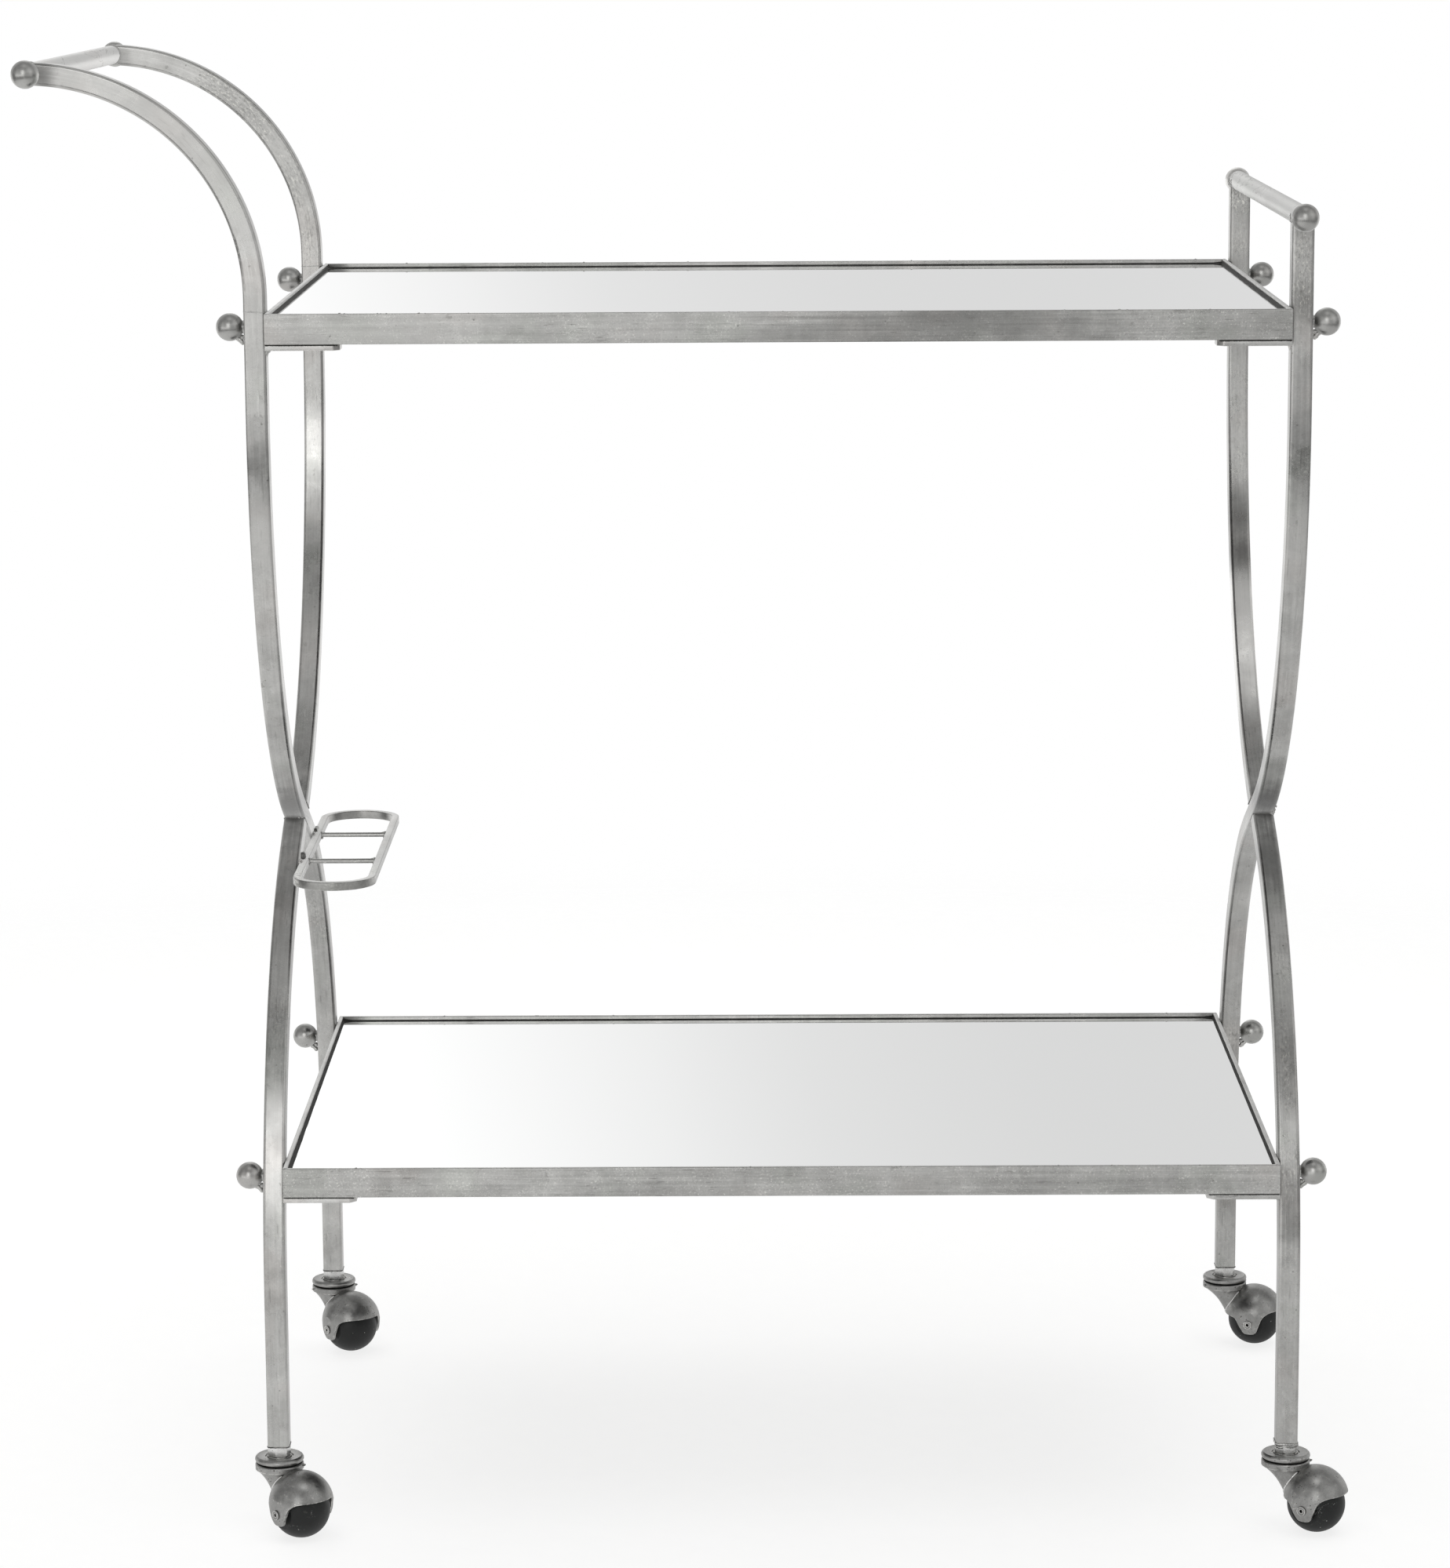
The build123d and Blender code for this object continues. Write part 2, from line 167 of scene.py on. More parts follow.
def silver_leaf(name, run, base=0.50, rough=0.30, seed=0.0, mottle=1.0, streaks=1.0, sand=1.0,
                pits=1.0, tarnish_and_shade=1.0, veins=0.0, sides=0.0, along=1.0, stains_and_painted_light=(), scars=()):
    """Antique silver leaf on steel: mottled patches, brushed streaks along the bar, sandy specks,
    pin-holes down to the dark base coat, tarnish in the joints with painted shade where ambient occlusion finds them
    hemmed in, painted shade on upright faces when sides is set, and listed patches of tone, some of them painted light."""
    m, t, bsdf = material(name)
    O = t.add("ShaderNodeTexCoord").outputs["Object"]
    P = t.mapped(O, (1, along, 1), loc=(seed, seed * 0.7, -seed * 0.4))
    S = P
    if run == "strand":
        S = t.add("ShaderNodeAttribute", attribute_name="strand").outputs["Vector"]
    cloud = t.noise(P, 10.0, 4.0, 0.60, 0.3)
    mott = t.noise(P, 60.0, 6.0, 0.64, 0.2)
    patch = t.noise(P, 38.0, 6.0, 0.68, 0.3)
    leaf = t.noise(P, 150.0, 4.0, 0.6, 0.4)
    fine = t.noise(P, 760.0, 3.0, 0.65)
    sx = STRETCH[run]
    streak = t.noise(t.mapped(S, sx), 1.0, 3.0, 0.6)
    hair = t.noise(t.mapped(S, tuple(2.7 * a if a > 20 else 2.0 * a for a in sx)), 1.0, 2.0, 0.5)

    def about(n, k, v):
        return t.math("MULTIPLY_ADD", t.math("SUBTRACT", n, 0.5), k, v)

    v = about(cloud, 0.66 * mottle, 1.0)
    v = about(mott, 0.50 * mottle, v)
    v = t.math("MULTIPLY_ADD", t.step(patch, 0.50, 0.60), 0.10 * mottle, v)
    v = t.math("MULTIPLY_ADD", t.step(patch, 0.47, 0.38), -0.09 * mottle, v)
    v = about(streak, 0.55 * streaks, v)
    v = about(hair, 0.26 * streaks, v)
    v = about(fine, 0.10, v)
    v = t.math("MULTIPLY", v, base, clamp=True)
    col = t.ramp(v, [(0.0, (0.0, 0.0, 0.0)), (0.35, (0.352, 0.350, 0.338)),
                     (0.6, (0.603, 0.600, 0.583)), (1.0, (1.0, 0.998, 0.98))])
    # the leaf shifts a little towards pink here and green there
    tint = t.noise(P, 21.0, 2.0, 0.5)
    col = t.mix(t.math("MULTIPLY", t.step(tint, 0.52, 0.66), 0.5), col, (1.0, 0.965, 0.955), "MULTIPLY")
    col = t.mix(t.math("MULTIPLY", t.step(tint, 0.46, 0.34), 0.5), col, (0.965, 0.99, 0.96), "MULTIPLY")
    # sandy bright specks, in clusters
    where = t.math("MULTIPLY_ADD", t.step(patch, 0.40, 0.62), 0.7, 0.3)
    speck = t.math("MULTIPLY", t.step(fine, 0.56, 0.68), where)
    col = t.mix(t.math("MULTIPLY", speck, 0.36 * sand, clamp=True), col, (0.90, 0.895, 0.85))
    gritty = t.math("MULTIPLY", t.step(fine, 0.43, 0.32), where)
    col = t.mix(t.math("MULTIPLY", gritty, 0.26 * sand, clamp=True), col, (0.22, 0.217, 0.205))
    # short scrapes along the bar, some rubbed bright and some down to the dark base
    scr = t.noise(t.mapped(S, SCRATCH[run]), 1.0, 2.0, 0.5)
    area = t.step(cloud, 0.40, 0.62)
    col = t.mix(t.math("MULTIPLY", t.math("MULTIPLY", t.step(scr, 0.64, 0.70), area), 0.40 * streaks), col, (0.84, 0.835, 0.81))
    area = t.step(cloud, 0.60, 0.40)
    col = t.mix(t.math("MULTIPLY", t.math("MULTIPLY", t.step(scr, 0.37, 0.31), area), 0.45 * streaks), col, (0.16, 0.157, 0.147))
    if veins:
        line = t.math("ABSOLUTE", t.math("SUBTRACT", t.noise(P, 70.0, 4.0, 0.55, 0.9), 0.5))
        line = t.math("MULTIPLY", t.step(line, 0.016, 0.003), t.step(patch, 0.40, 0.52))
        col = t.mix(t.math("MULTIPLY", line, veins), col, (0.30, 0.297, 0.285))
    if sides:
        # painted shade: upright faces are darkened and tops left brighter, by the way each face points
        up = t.add("ShaderNodeSeparateXYZ", {0: t.add("ShaderNodeNewGeometry").outputs["Normal"]}).outputs[2]
        painted_shade = t.math("MULTIPLY", t.step(t.math("ABSOLUTE", up), 0.75, 0.35), sides)
        col = t.mix(painted_shade, col, (0.16, 0.158, 0.150))
    # worn spots and pin-holes
    spots = t.math("MULTIPLY", t.step(leaf, 0.63, 0.72), t.step(cloud, 0.42, 0.60))
    col = t.mix(t.math("MULTIPLY", spots, 0.45 * pits), col, (0.20, 0.196, 0.182))
    vor = t.add("ShaderNodeTexVoronoi", {"Vector": P, "Scale": 130.0, "Randomness": 1.0})
    pit = t.math("MULTIPLY", t.step(vor.outputs["Distance"], 0.12, 0.04), t.step(leaf, 0.5, 0.60))
    col = t.mix(t.math("MULTIPLY", pit, 0.6 * pits), col, (0.13, 0.127, 0.118))
    # patina and rubbed places where this cart shows them, and patches of painted light and shade given in the same list
    wob = t.math("MULTIPLY_ADD", streak, 0.5, t.math("MULTIPLY", mott, 0.5))
    for centre, radii, amount, tone in stains_and_painted_light:
        mask = t.near(O, centre, radii, wob)
        col = t.mix(t.math("MULTIPLY", mask, amount), col, (tone, tone * 0.99, tone * 0.96))
    # scraped and spattered places: bright flakes beside bare dark ones
    rag = t.noise(t.mapped(S, RAGGED[run]), 1.0, 5.0, 0.66, 0.3)
    for centre, radii, amount in scars:
        mask = t.math("MULTIPLY", t.near(O, centre, radii, mott), amount)
        col = t.mix(t.math("MULTIPLY", mask, t.step(rag, 0.54, 0.62)), col, (0.88, 0.87, 0.80))
        col = t.mix(t.math("MULTIPLY", mask, t.step(rag, 0.46, 0.38)), col, (0.14, 0.137, 0.122))
    # tarnish in the joints, with painted shade: darkened wherever ambient occlusion finds the surface hemmed in
    ao = t.add("ShaderNodeAmbientOcclusion", {"Distance": 0.007}, samples=6)
    dark = t.step(ao.outputs["AO"], 0.80, 0.22)
    col = t.mix(t.math("MULTIPLY", dark, 0.80 * tarnish_and_shade, clamp=True), col, (0.075, 0.073, 0.067))
    t.put(bsdf.inputs["Base Color"], col)
    bsdf.inputs["Metallic"].default_value = 1.0
    r = about(mott, 0.30, rough)
    r = about(fine, 0.08, r)
    r = t.math("MULTIPLY_ADD", speck, 0.10, r)
    r = t.math("MULTIPLY_ADD", dark, 0.15, r, clamp=True)
    t.put(bsdf.inputs["Roughness"], r)
    h = t.math("MULTIPLY_ADD", fine, 0.14, t.math("MULTIPLY", leaf, 0.45))
    h = t.math("MULTIPLY_ADD", streak, 0.45 * streaks, h)
    h = t.math("MULTIPLY_ADD", pit, -0.5, h)
    bump = t.add("ShaderNodeBump", {"Height": h, "Strength": 0.20, "Distance": 0.0004})
    t.put(bsdf.inputs["Normal"], bump.outputs[0])
    return m


def caster_metal(name, base=0.42, seed=0.0, rough=0.40):
    """Pressed steel under dark antique silver: smooth, with scuffs, pin-holes and rubbed edges."""
    m, t, bsdf = material(name)
    P = t.add("ShaderNodeTexCoord").outputs["Object"]
    P = t.mapped(P, (1, 1, 1), loc=(seed, -seed, seed * 0.5))
    cloud = t.noise(P, 60.0, 4.0, 0.55, 0.6)
    mott = t.noise(P, 210.0, 5.0, 0.64, 0.8)
    fine = t.noise(P, 1100.0, 2.0, 0.6)
    v = t.math("MULTIPLY_ADD", t.math("SUBTRACT", cloud, 0.5), 0.8, 1.0)
    v = t.math("MULTIPLY_ADD", t.math("SUBTRACT", mott, 0.5), 0.8, v)
    v = t.math("MULTIPLY_ADD", t.math("SUBTRACT", fine, 0.5), 0.35, v)
    v = t.math("MULTIPLY", v, base, clamp=True)
    col = t.ramp(v, [(0.0, (0.0, 0.0, 0.0)), (0.35, (0.352, 0.350, 0.340)),
                     (0.6, (0.603, 0.600, 0.585)), (1.0, (1.0, 0.998, 0.985))])
    scuff = t.math("MULTIPLY", t.step(mott, 0.58, 0.68), t.step(fine, 0.48, 0.62))
    col = t.mix(t.math("MULTIPLY", scuff, 0.55), col, (0.80, 0.79, 0.75))
    worn = t.math("MULTIPLY", t.step(mott, 0.40, 0.33), t.step(cloud, 0.46, 0.60))
    col = t.mix(t.math("MULTIPLY", worn, 0.55), col, (0.12, 0.117, 0.108))
    vor = t.add("ShaderNodeTexVoronoi", {"Vector": P, "Scale": 300.0, "Randomness": 1.0})
    pit = t.math("MULTIPLY", t.step(vor.outputs["Distance"], 0.20, 0.08), t.step(mott, 0.53, 0.60))
    col = t.mix(t.math("MULTIPLY", pit, 0.8), col, (0.05, 0.048, 0.043))
    # black specks in drifts
    vor = t.add("ShaderNodeTexVoronoi", {"Vector": P, "Scale": 520.0, "Randomness": 1.0})
    speck = t.math("MULTIPLY", t.step(vor.outputs["Distance"], 0.30, 0.14), t.step(cloud, 0.50, 0.60))
    speck = t.math("MULTIPLY", speck, t.step(mott, 0.44, 0.52))
    col = t.mix(t.math("MULTIPLY", speck, 0.85), col, (0.03, 0.029, 0.026))
    # edges rubbed bright, unevenly
    geo = t.add("ShaderNodeNewGeometry").outputs["Normal"]
    bev = t.add("ShaderNodeBevel", {"Radius": 0.0010}, samples=6).outputs[0]
    turn = t.add("ShaderNodeVectorMath", {0: geo, 1: bev}, operation="DOT_PRODUCT").outputs["Value"]
    edge = t.math("MULTIPLY", t.step(turn, 0.985, 0.90), t.step(mott, 0.40, 0.56))
    col = t.mix(t.math("MULTIPLY", edge, 0.75), col, (0.88, 0.87, 0.83))
    # painted shade: darkened wherever ambient occlusion finds the surface hemmed in, in creases and under rims
    ao = t.add("ShaderNodeAmbientOcclusion", {"Distance": 0.0026}, samples=6)
    dark = t.step(ao.outputs["AO"], 0.62, 0.15)
    col = t.mix(t.math("MULTIPLY", dark, 0.85), col, (0.030, 0.029, 0.027))
    t.put(bsdf.inputs["Base Color"], col)
    bsdf.inputs["Metallic"].default_value = 1.0
    r = t.math("MULTIPLY_ADD", t.math("SUBTRACT", mott, 0.5), 0.30, rough)
    r = t.math("MULTIPLY_ADD", dark, 0.3, r, clamp=True)
    t.put(bsdf.inputs["Roughness"], r)
    h = t.math("MULTIPLY_ADD", pit, -0.9, t.math("MULTIPLY", mott, 0.55))
    h = t.math("MULTIPLY_ADD", fine, 0.25, h)
    bump = t.add("ShaderNodeBump", {"Height": h, "Strength": 0.24, "Distance": 0.0005})
    t.put(bsdf.inputs["Normal"], bump.outputs[0])
    return m


def mirror_glass(name):
    """Clear mirror with a trace of wiping marks and dust."""
    m, t, bsdf = material(name)
    P = t.add("ShaderNodeTexCoord").outputs["Object"]
    wipe = t.noise(t.mapped(P, (5, 16, 5), rot=(0, 0, 0.5)), 1.0, 4.0, 0.6, 1.5)
    dust = t.noise(P, 1400.0, 2.0, 0.6)
    film = t.step(wipe, 0.45, 0.75)
    specks = t.step(dust, 0.72, 0.78)
    col = t.mix(t.math("MULTIPLY", film, 0.05), (0.955, 0.960, 0.957), (0.92, 0.925, 0.92))
    col = t.mix(t.math("MULTIPLY", specks, 0.10), col, (0.80, 0.80, 0.79))
    t.put(bsdf.inputs["Base Color"], col)
    bsdf.inputs["Metallic"].default_value = 1.0
    r = t.math("MULTIPLY_ADD", film, 0.03, 0.012)
    r = t.math("MULTIPLY_ADD", specks, 0.10, r)
    t.put(bsdf.inputs["Roughness"], r)
    return m


def board_black(name):
    """Black-faced fibreboard under the mirror."""
    m, t, bsdf = material(name)
    P = t.add("ShaderNodeTexCoord").outputs["Object"]
    fibre = t.noise(t.mapped(P, (40, 160, 40), rot=(0, 0, 0.3)), 1.0, 5.0, 0.7, 1.0)
    fine = t.noise(P, 900.0, 2.0, 0.6)
    v = t.math("MULTIPLY_ADD", fine, 0.4, t.math("MULTIPLY", fibre, 0.6))
    col = t.ramp(v, [(0.25, (0.016, 0.016, 0.017)), (0.55, (0.028, 0.028, 0.029)),
                     (0.8, (0.05, 0.049, 0.047))])
    t.put(bsdf.inputs["Base Color"], col)
    t.put(bsdf.inputs["Roughness"], t.math("MULTIPLY_ADD", fibre, 0.25, 0.5))
    bump = t.add("ShaderNodeBump", {"Height": v, "Strength": 0.25, "Distance": 0.0004})
    t.put(bsdf.inputs["Normal"], bump.outputs[0])
    return m


def ball_rubber(name):
    """Hard black rubber, faintly glossy, with scuffs and dust from the floor."""
    m, t, bsdf = material(name)
    P = t.add("ShaderNodeTexCoord").outputs["Object"]
    cloud = t.noise(P, 90.0, 4.0, 0.6, 0.8)
    mott = t.noise(P, 420.0, 5.0, 0.65, 0.5)
    fine = t.noise(P, 1700.0, 2.0, 0.6)
    col = t.ramp(cloud, [(0.3, (0.007, 0.0075, 0.0072)), (0.7, (0.014, 0.0155, 0.0147))])
    dust = t.math("MULTIPLY", t.step(mott, 0.56, 0.68), t.step(cloud, 0.50, 0.64))
    col = t.mix(t.math("MULTIPLY", dust, 0.35), col, (0.13, 0.13, 0.12))
    vor = t.add("ShaderNodeTexVoronoi", {"Vector": P, "Scale": 260.0, "Randomness": 1.0})
    fleck = t.math("MULTIPLY", t.step(vor.outputs["Distance"], 0.14, 0.07), t.step(mott, 0.54, 0.60))
    col = t.mix(t.math("MULTIPLY", fleck, 0.85), col, (0.50, 0.50, 0.48))
    # a patch chafed grey on the front right ball, a few lines on the others
    chafe = t.step(t.noise(P, 950.0, 3.0, 0.7), 0.56, 0.64)
    for centre, radii, amount in (((393.0, -227.3, 19.5), (5.2, 5, 4.6), 0.60), ((401.5, -225.5, 23.0), (5.5, 5, 1.2), 0.75),
                                  ((-262.0, -231.0, 12.5), (4.5, 5, 1.0), 0.50), ((-250.0, -231.0, 20.0), (1.2, 5, 3.0), 0.5)):
        col = t.mix(t.math("MULTIPLY", t.math("MULTIPLY", t.near(P, centre, radii, mott), chafe), amount), col, (0.42, 0.42, 0.40))
    t.put(bsdf.inputs["Base Color"], col)
    r = t.math("MULTIPLY_ADD", cloud, 0.25, 0.34)
    r = t.math("MULTIPLY_ADD", dust, 0.25, r, clamp=True)
    t.put(bsdf.inputs["Roughness"], r)
    bsdf.inputs["Specular IOR Level"].default_value = 0.35
    h = t.math("MULTIPLY_ADD", fine, 0.3, mott)
    bump = t.add("ShaderNodeBump", {"Height": h, "Strength": 0.12, "Distance": 0.0004})
    t.put(bsdf.inputs["Normal"], bump.outputs[0])
    return m


def plain_steel(name):
    """Zinc-plated thread and washers."""
    m, t, bsdf = material(name)
    P = t.add("ShaderNodeTexCoord").outputs["Object"]
    ring = t.noise(t.mapped(P, (300, 300, 1800)), 1.0, 3.0, 0.6)
    mott = t.noise(P, 250.0, 4.0, 0.6)
    v = t.math("MULTIPLY_ADD", ring, 0.5, t.math("MULTIPLY", mott, 0.5))
    t.put(bsdf.inputs["Base Color"], t.ramp(v, [
        (0.25, (0.30, 0.30, 0.295)), (0.55, (0.48, 0.48, 0.47)), (0.8, (0.62, 0.62, 0.60))]))
    bsdf.inputs["Metallic"].default_value = 1.0
    t.put(bsdf.inputs["Roughness"], t.math("MULTIPLY_ADD", mott, 0.2, 0.25))
    return m


def nylon(name):
    """Bush in the ball wheel."""
    m, t, bsdf = material(name)
    P = t.add("ShaderNodeTexCoord").outputs["Object"]
    mott = t.noise(P, 400.0, 4.0, 0.6)
    t.put(bsdf.inputs["Base Color"], t.ramp(mott, [
        (0.3, (0.55, 0.54, 0.50)), (0.7, (0.70, 0.69, 0.65))]))
    t.put(bsdf.inputs["Roughness"], t.math("MULTIPLY_ADD", mott, 0.2, 0.35))
    bsdf.inputs["Subsurface Weight"].default_value = 0.1
    return m


def putty_and_shade_material(name):
    """Dark putty that beds the mirror in its frame; the same dark is laid up the rails' inner walls and under the rails
    over the tabs as painted shade.
    """
    m, t, bsdf = material(name)
    P = t.add("ShaderNodeTexCoord").outputs["Object"]
    mott = t.noise(P, 160.0, 5.0, 0.65, 0.5)
    fine = t.noise(P, 900.0, 2.0, 0.6)
    v = t.math("MULTIPLY_ADD", fine, 0.4, t.math("MULTIPLY", mott, 0.6))
    t.put(bsdf.inputs["Base Color"], t.ramp(v, [
        (0.3, (0.022, 0.022, 0.021)), (0.55, (0.05, 0.049, 0.046)), (0.75, (0.12, 0.118, 0.11))]))
    t.put(bsdf.inputs["Roughness"], t.math("MULTIPLY_ADD", mott, 0.3, 0.45))
    bsdf.inputs["Specular IOR Level"].default_value = 0.12
    bump = t.add("ShaderNodeBump", {"Height": v, "Strength": 0.3, "Distance": 0.0003})
    t.put(bsdf.inputs["Normal"], bump.outputs[0])
    return m


LX, RX = LEG_X
# patches of tone on the legs and arms: real marks, and some painted light and shade standing in for reflections
leg_stains_and_painted_light = (
    ((LX, -30.0, 446.0), (16, 70, 30), 0.84, 0.13),        # darker above the welded crossings
    ((RX, -32.0, 446.0), (16, 70, 27), 0.92, 0.085),
    ((RX, -50.0, 412.0), (16, 54, 26), 0.55, 0.11),
    ((LX, -112.0, 364.0), (14, 30, 26), 0.18, 0.17),
    ((LX, -75.0, 394.0), (14, 26, 20), 0.22, 0.18),
    ((LX, -67.0, 477.0), (14, 26, 24), 0.34, 0.20),
    ((RX, -67.0, 477.0), (14, 26, 24), 0.38, 0.18),
    ((RX, -166.0, 286.0), (14, 20, 26), 0.26, 0.20),
    ((RX, -190.0, 722.0), (14, 16, 36), 0.32, 0.14),
    ((LX, -188.0, 692.0), (14, 16, 17), 0.36, 0.14),
    # painted highlight: the same bright band on both front legs, standing in for reflected light
    ((LX, -180.0, 648.0), (14, 18, 30), 0.42, 0.78),
    ((RX, -175.0, 636.0), (14, 18, 30), 0.40, 0.74),
    ((LX, -172.0, 272.0), (12, 18, 20), 0.30, 0.95),
    ((LX, -195.0, 182.0), (12, 12, 22), 0.14, 0.20),
    ((RX, 147.0, 540.0), (16, 52, 46), 0.80, 1.0),         # brighter, rear right above the crossing
    ((RX, 128.0, 513.0), (16, 40, 38), 0.80, 1.0),
    ((RX, 112.0, 492.0), (16, 34, 28), 0.60, 1.0),
    ((RX, 163.0, 558.0), (16, 26, 14), 0.80, 1.0),
    ((RX, 188.0, 606.0), (16, 26, 28), 0.55, 0.12),        # and the dark reach above it
    ((RX, 178.0, 583.0), (16, 22, 13), 0.60, 0.12),
    ((LX, 142.0, 532.0), (16, 44, 36), 0.28, 0.80),
    ((LX, 200.0, 662.0), (16, 14, 26), 0.40, 1.0),
    ((LX, 150.0, 325.0), (16, 40, 40), 0.20, 0.20),
    ((RX, 140.0, 345.0), (14, 30, 26), 0.25, 0.90),
    ((RX, 205.0, 800.0), (12, 12, 22), 0.26, 0.85),
    ((LX, 30.0, 432.0), (16, 30, 14), 0.45, 0.20),
    ((LX, 100.0, 368.0), (16, 60, 46), 0.36, 0.20),
    ((RX, 30.0, 432.0), (16, 30, 14), 0.45, 0.20),
    ((-399.0, -190.0, 931.0), (9.5, 16, 15), 0.92, 0.10),    # heat mark at the handle's front joint
    ((-400.0, 210.3, 931.0), (8, 12, 12), 0.60, 0.20),
    ((-340.0, -190.0, 890.0), (110, 14, 90), 0.40, 0.66),   # pale front arm
    ((-330.0, 210.3, 895.0), (52, 12, 34), 0.46, 0.24),    # mottles on the rear one
    ((-292.0, 210.3, 848.0), (14, 12, 24), 0.10, 0.66),
    ((-375.0, 210.3, 921.0), (38, 12, 20), 0.20, 0.20),
    ((LX, -150.0, 318.0), (12, 22, 18), 0.09, 0.16),       # dry-brushed patina, lower left
    ((RX, -108.0, 382.0), (10, 30, 14), 0.14, 0.66),        # rubbed bright, lower right
    ((RX, -195.0, 212.0), (12, 16, 40), 0.66, 0.17),
    ((RX, 210.3, 826.0), (9, 10, 8), 0.45, 0.78),          # bright spatter under the end rail
    ((RX, -195.0, 814.0), (12, 10, 16), 0.26, 0.76),       # the front post
    ((RX, -195.0, 786.0), (12, 10, 14), 0.26, 0.18),
)
leg_scars = (
    ((RX, -195.0, 806.0), (9, 8, 40), 0.50),               # front right post, scraped
    ((RX, 203.0, 829.0), (9, 9, 12), 0.75),                # spatter under the end rail's far end
    ((RX, 203.0, 800.0), (7, 8, 16), 0.35),
    ((LX, -150.0, 322.0), (10, 30, 34), 0.26),             # dry-brushed, lower left
    ((-322.0, 203.0, 900.0), (60, 10, 40), 0.42),          # mottles on the rear handle arm
    ((-286.0, 203.0, 842.0), (16, 10, 34), 0.38),
    ((LX, 203.0, 805.0), (9, 9, 20), 0.40),
    ((RX, -130.0, 362.0), (10, 40, 34), 0.22),
    ((RX, -195.0, 235.0), (9, 12, 30), 0.32),
    ((RX, -165.0, 296.0), (4, 34, 60), 0.42),
    ((RX, 205.0, 236.0), (9, 12, 18), 0.55),
    ((LX, 140.0, 330.0), (10, 34, 40), 0.35),              # the rear legs below the rack
    ((LX, -196.0, 120.0), (8, 8, 60), 0.10),
    ((RX, -190.0, 640.0), (8, 16, 60), 0.10),
    ((LX, 190.0, 690.0), (9, 16, 60), 0.30),
    ((RX, 190.0, 690.0), (9, 16, 60), 0.45),
)
rack_scars = (
    ((-262.0, -92.0, 410.0), (6, 34, 8), 0.65),
    ((-214.0, -90.0, 410.0), (8, 40, 8), 0.30),
    ((-236.0, -122.0, 408.0), (26, 8, 8), 0.28),
)
rail_stains = (
    ((155.0, -208.0, 777.0), (125, 12, 18), 0.52, 0.16),   # a dull cloud right of the middle
    ((150.0, -208.0, 783.0), (40, 10, 7), 0.30, 0.14),
    ((60.0, -208.0, 771.0), (60, 10, 6), 0.20, 0.22),
    ((-190.0, -208.0, 774.0), (70, 10, 12), 0.22, 0.62),
    ((225.0, -208.0, 776.0), (80, 10, 16), 0.20, 0.20),
    ((130.0, -208.0, 232.0), (330, 10, 18), 0.15, 0.20),
    ((-240.0, -208.0, 232.0), (40, 10, 12), 0.16, 0.52),
    ((250.0, -208.0, 230.0), (80, 10, 8), 0.20, 0.24),
    ((-258.0, 227.0, 784.0), (12, 8, 8), 0.75, 0.08),      # dark weld at the rear corners
    ((-258.0, 227.0, 240.0), (14, 8, 8), 0.75, 0.08),
    ((362.0, 227.0, 240.0), (9, 8, 8), 0.55, 0.10),
)
m_x = silver_leaf("silver_leaf_x", "x", base=0.47, seed=0.0, sand=2.1, tarnish_and_shade=0.9, stains_and_painted_light=rail_stains)
m_tab = silver_leaf("silver_leaf_tab", "x", base=0.60, seed=0.9, sand=1.0, tarnish_and_shade=0.35)
m_rear = silver_leaf("silver_leaf_rear", "x", base=0.47, seed=4.6, sand=1.4, tarnish_and_shade=0.42, stains_and_painted_light=rail_stains)
m_y = silver_leaf("silver_leaf_y", "y", base=0.48, seed=1.3)
m_leg = silver_leaf("silver_leaf_leg", "strand", base=0.50, seed=2.1, sand=0.6, streaks=0.72, stains_and_painted_light=leg_stains_and_painted_light, scars=leg_scars)
m_bar = silver_leaf("silver_leaf_bar", "y", base=0.68, rough=0.36, pits=0.5, sand=0.4, mottle=0.5, streaks=0.2,
                    veins=0.55, along=0.2, seed=3.7)
ball_stains = (
    ((RX, 226.0, 841.0), (17, 17, 17), 0.92, 0.95),        # the far end of the end rail is nearly white
    ((-409.3, 226.0, 932.5), (15, 15, 15), 0.35, 0.62),
)
m_ball = silver_leaf("silver_leaf_ball", "round", base=0.46, rough=0.31, pits=0.45, sand=0.25, mottle=0.4,
                     streaks=0.1, seed=5.2, tarnish_and_shade=0.7, stains_and_painted_light=ball_stains)
# the hoop's upright faces get painted shade through sides
m_rack = silver_leaf("silver_leaf_rack", "y", base=0.48, seed=6.4, sand=0.7, streaks=0.7, sides=0.42, scars=rack_scars)
m_weld = silver_leaf("silver_leaf_weld", "round", base=0.56, rough=0.33, seed=7.9, sand=1.6, pits=1.3, mottle=1.3,
                     tarnish_and_shade=0.8)
m_burn = silver_leaf("burnt_weld", "round", base=0.20, rough=0.42, seed=8.8, sand=0.5, pits=1.6, mottle=1.4)
m_caster = caster_metal("caster_silver", base=0.345, seed=1.0, rough=0.36)
m_cap = caster_metal("caster_cap_silver", base=0.37, seed=2.3, rough=0.35)
m_nut = caster_metal("lock_nut_silver", base=0.78, seed=4.1, rough=0.30)
m_rib = caster_metal("rubbed_rib_silver", base=0.82, seed=5.6, rough=0.30)
m_rivet = caster_metal("rivet_silver", base=0.52, seed=6.9, rough=0.32)
# painted shadow line, laid round the feet of the legs
m_foot_shadow = caster_metal("painted_shadow_line", base=0.10, seed=6.2, rough=0.5)
m_mirror = mirror_glass("mirror_glass")
m_board = board_black("board_black")
m_rubber = ball_rubber("ball_rubber")
m_steel = plain_steel("zinc_steel")
m_nylon = nylon("nylon_bush")
m_putty_shade = putty_and_shade_material("putty_and_painted_shade")


def paint(name, mat):
    o = nodes[name]
    o.data.materials.clear()
    o.data.materials.append(mat)


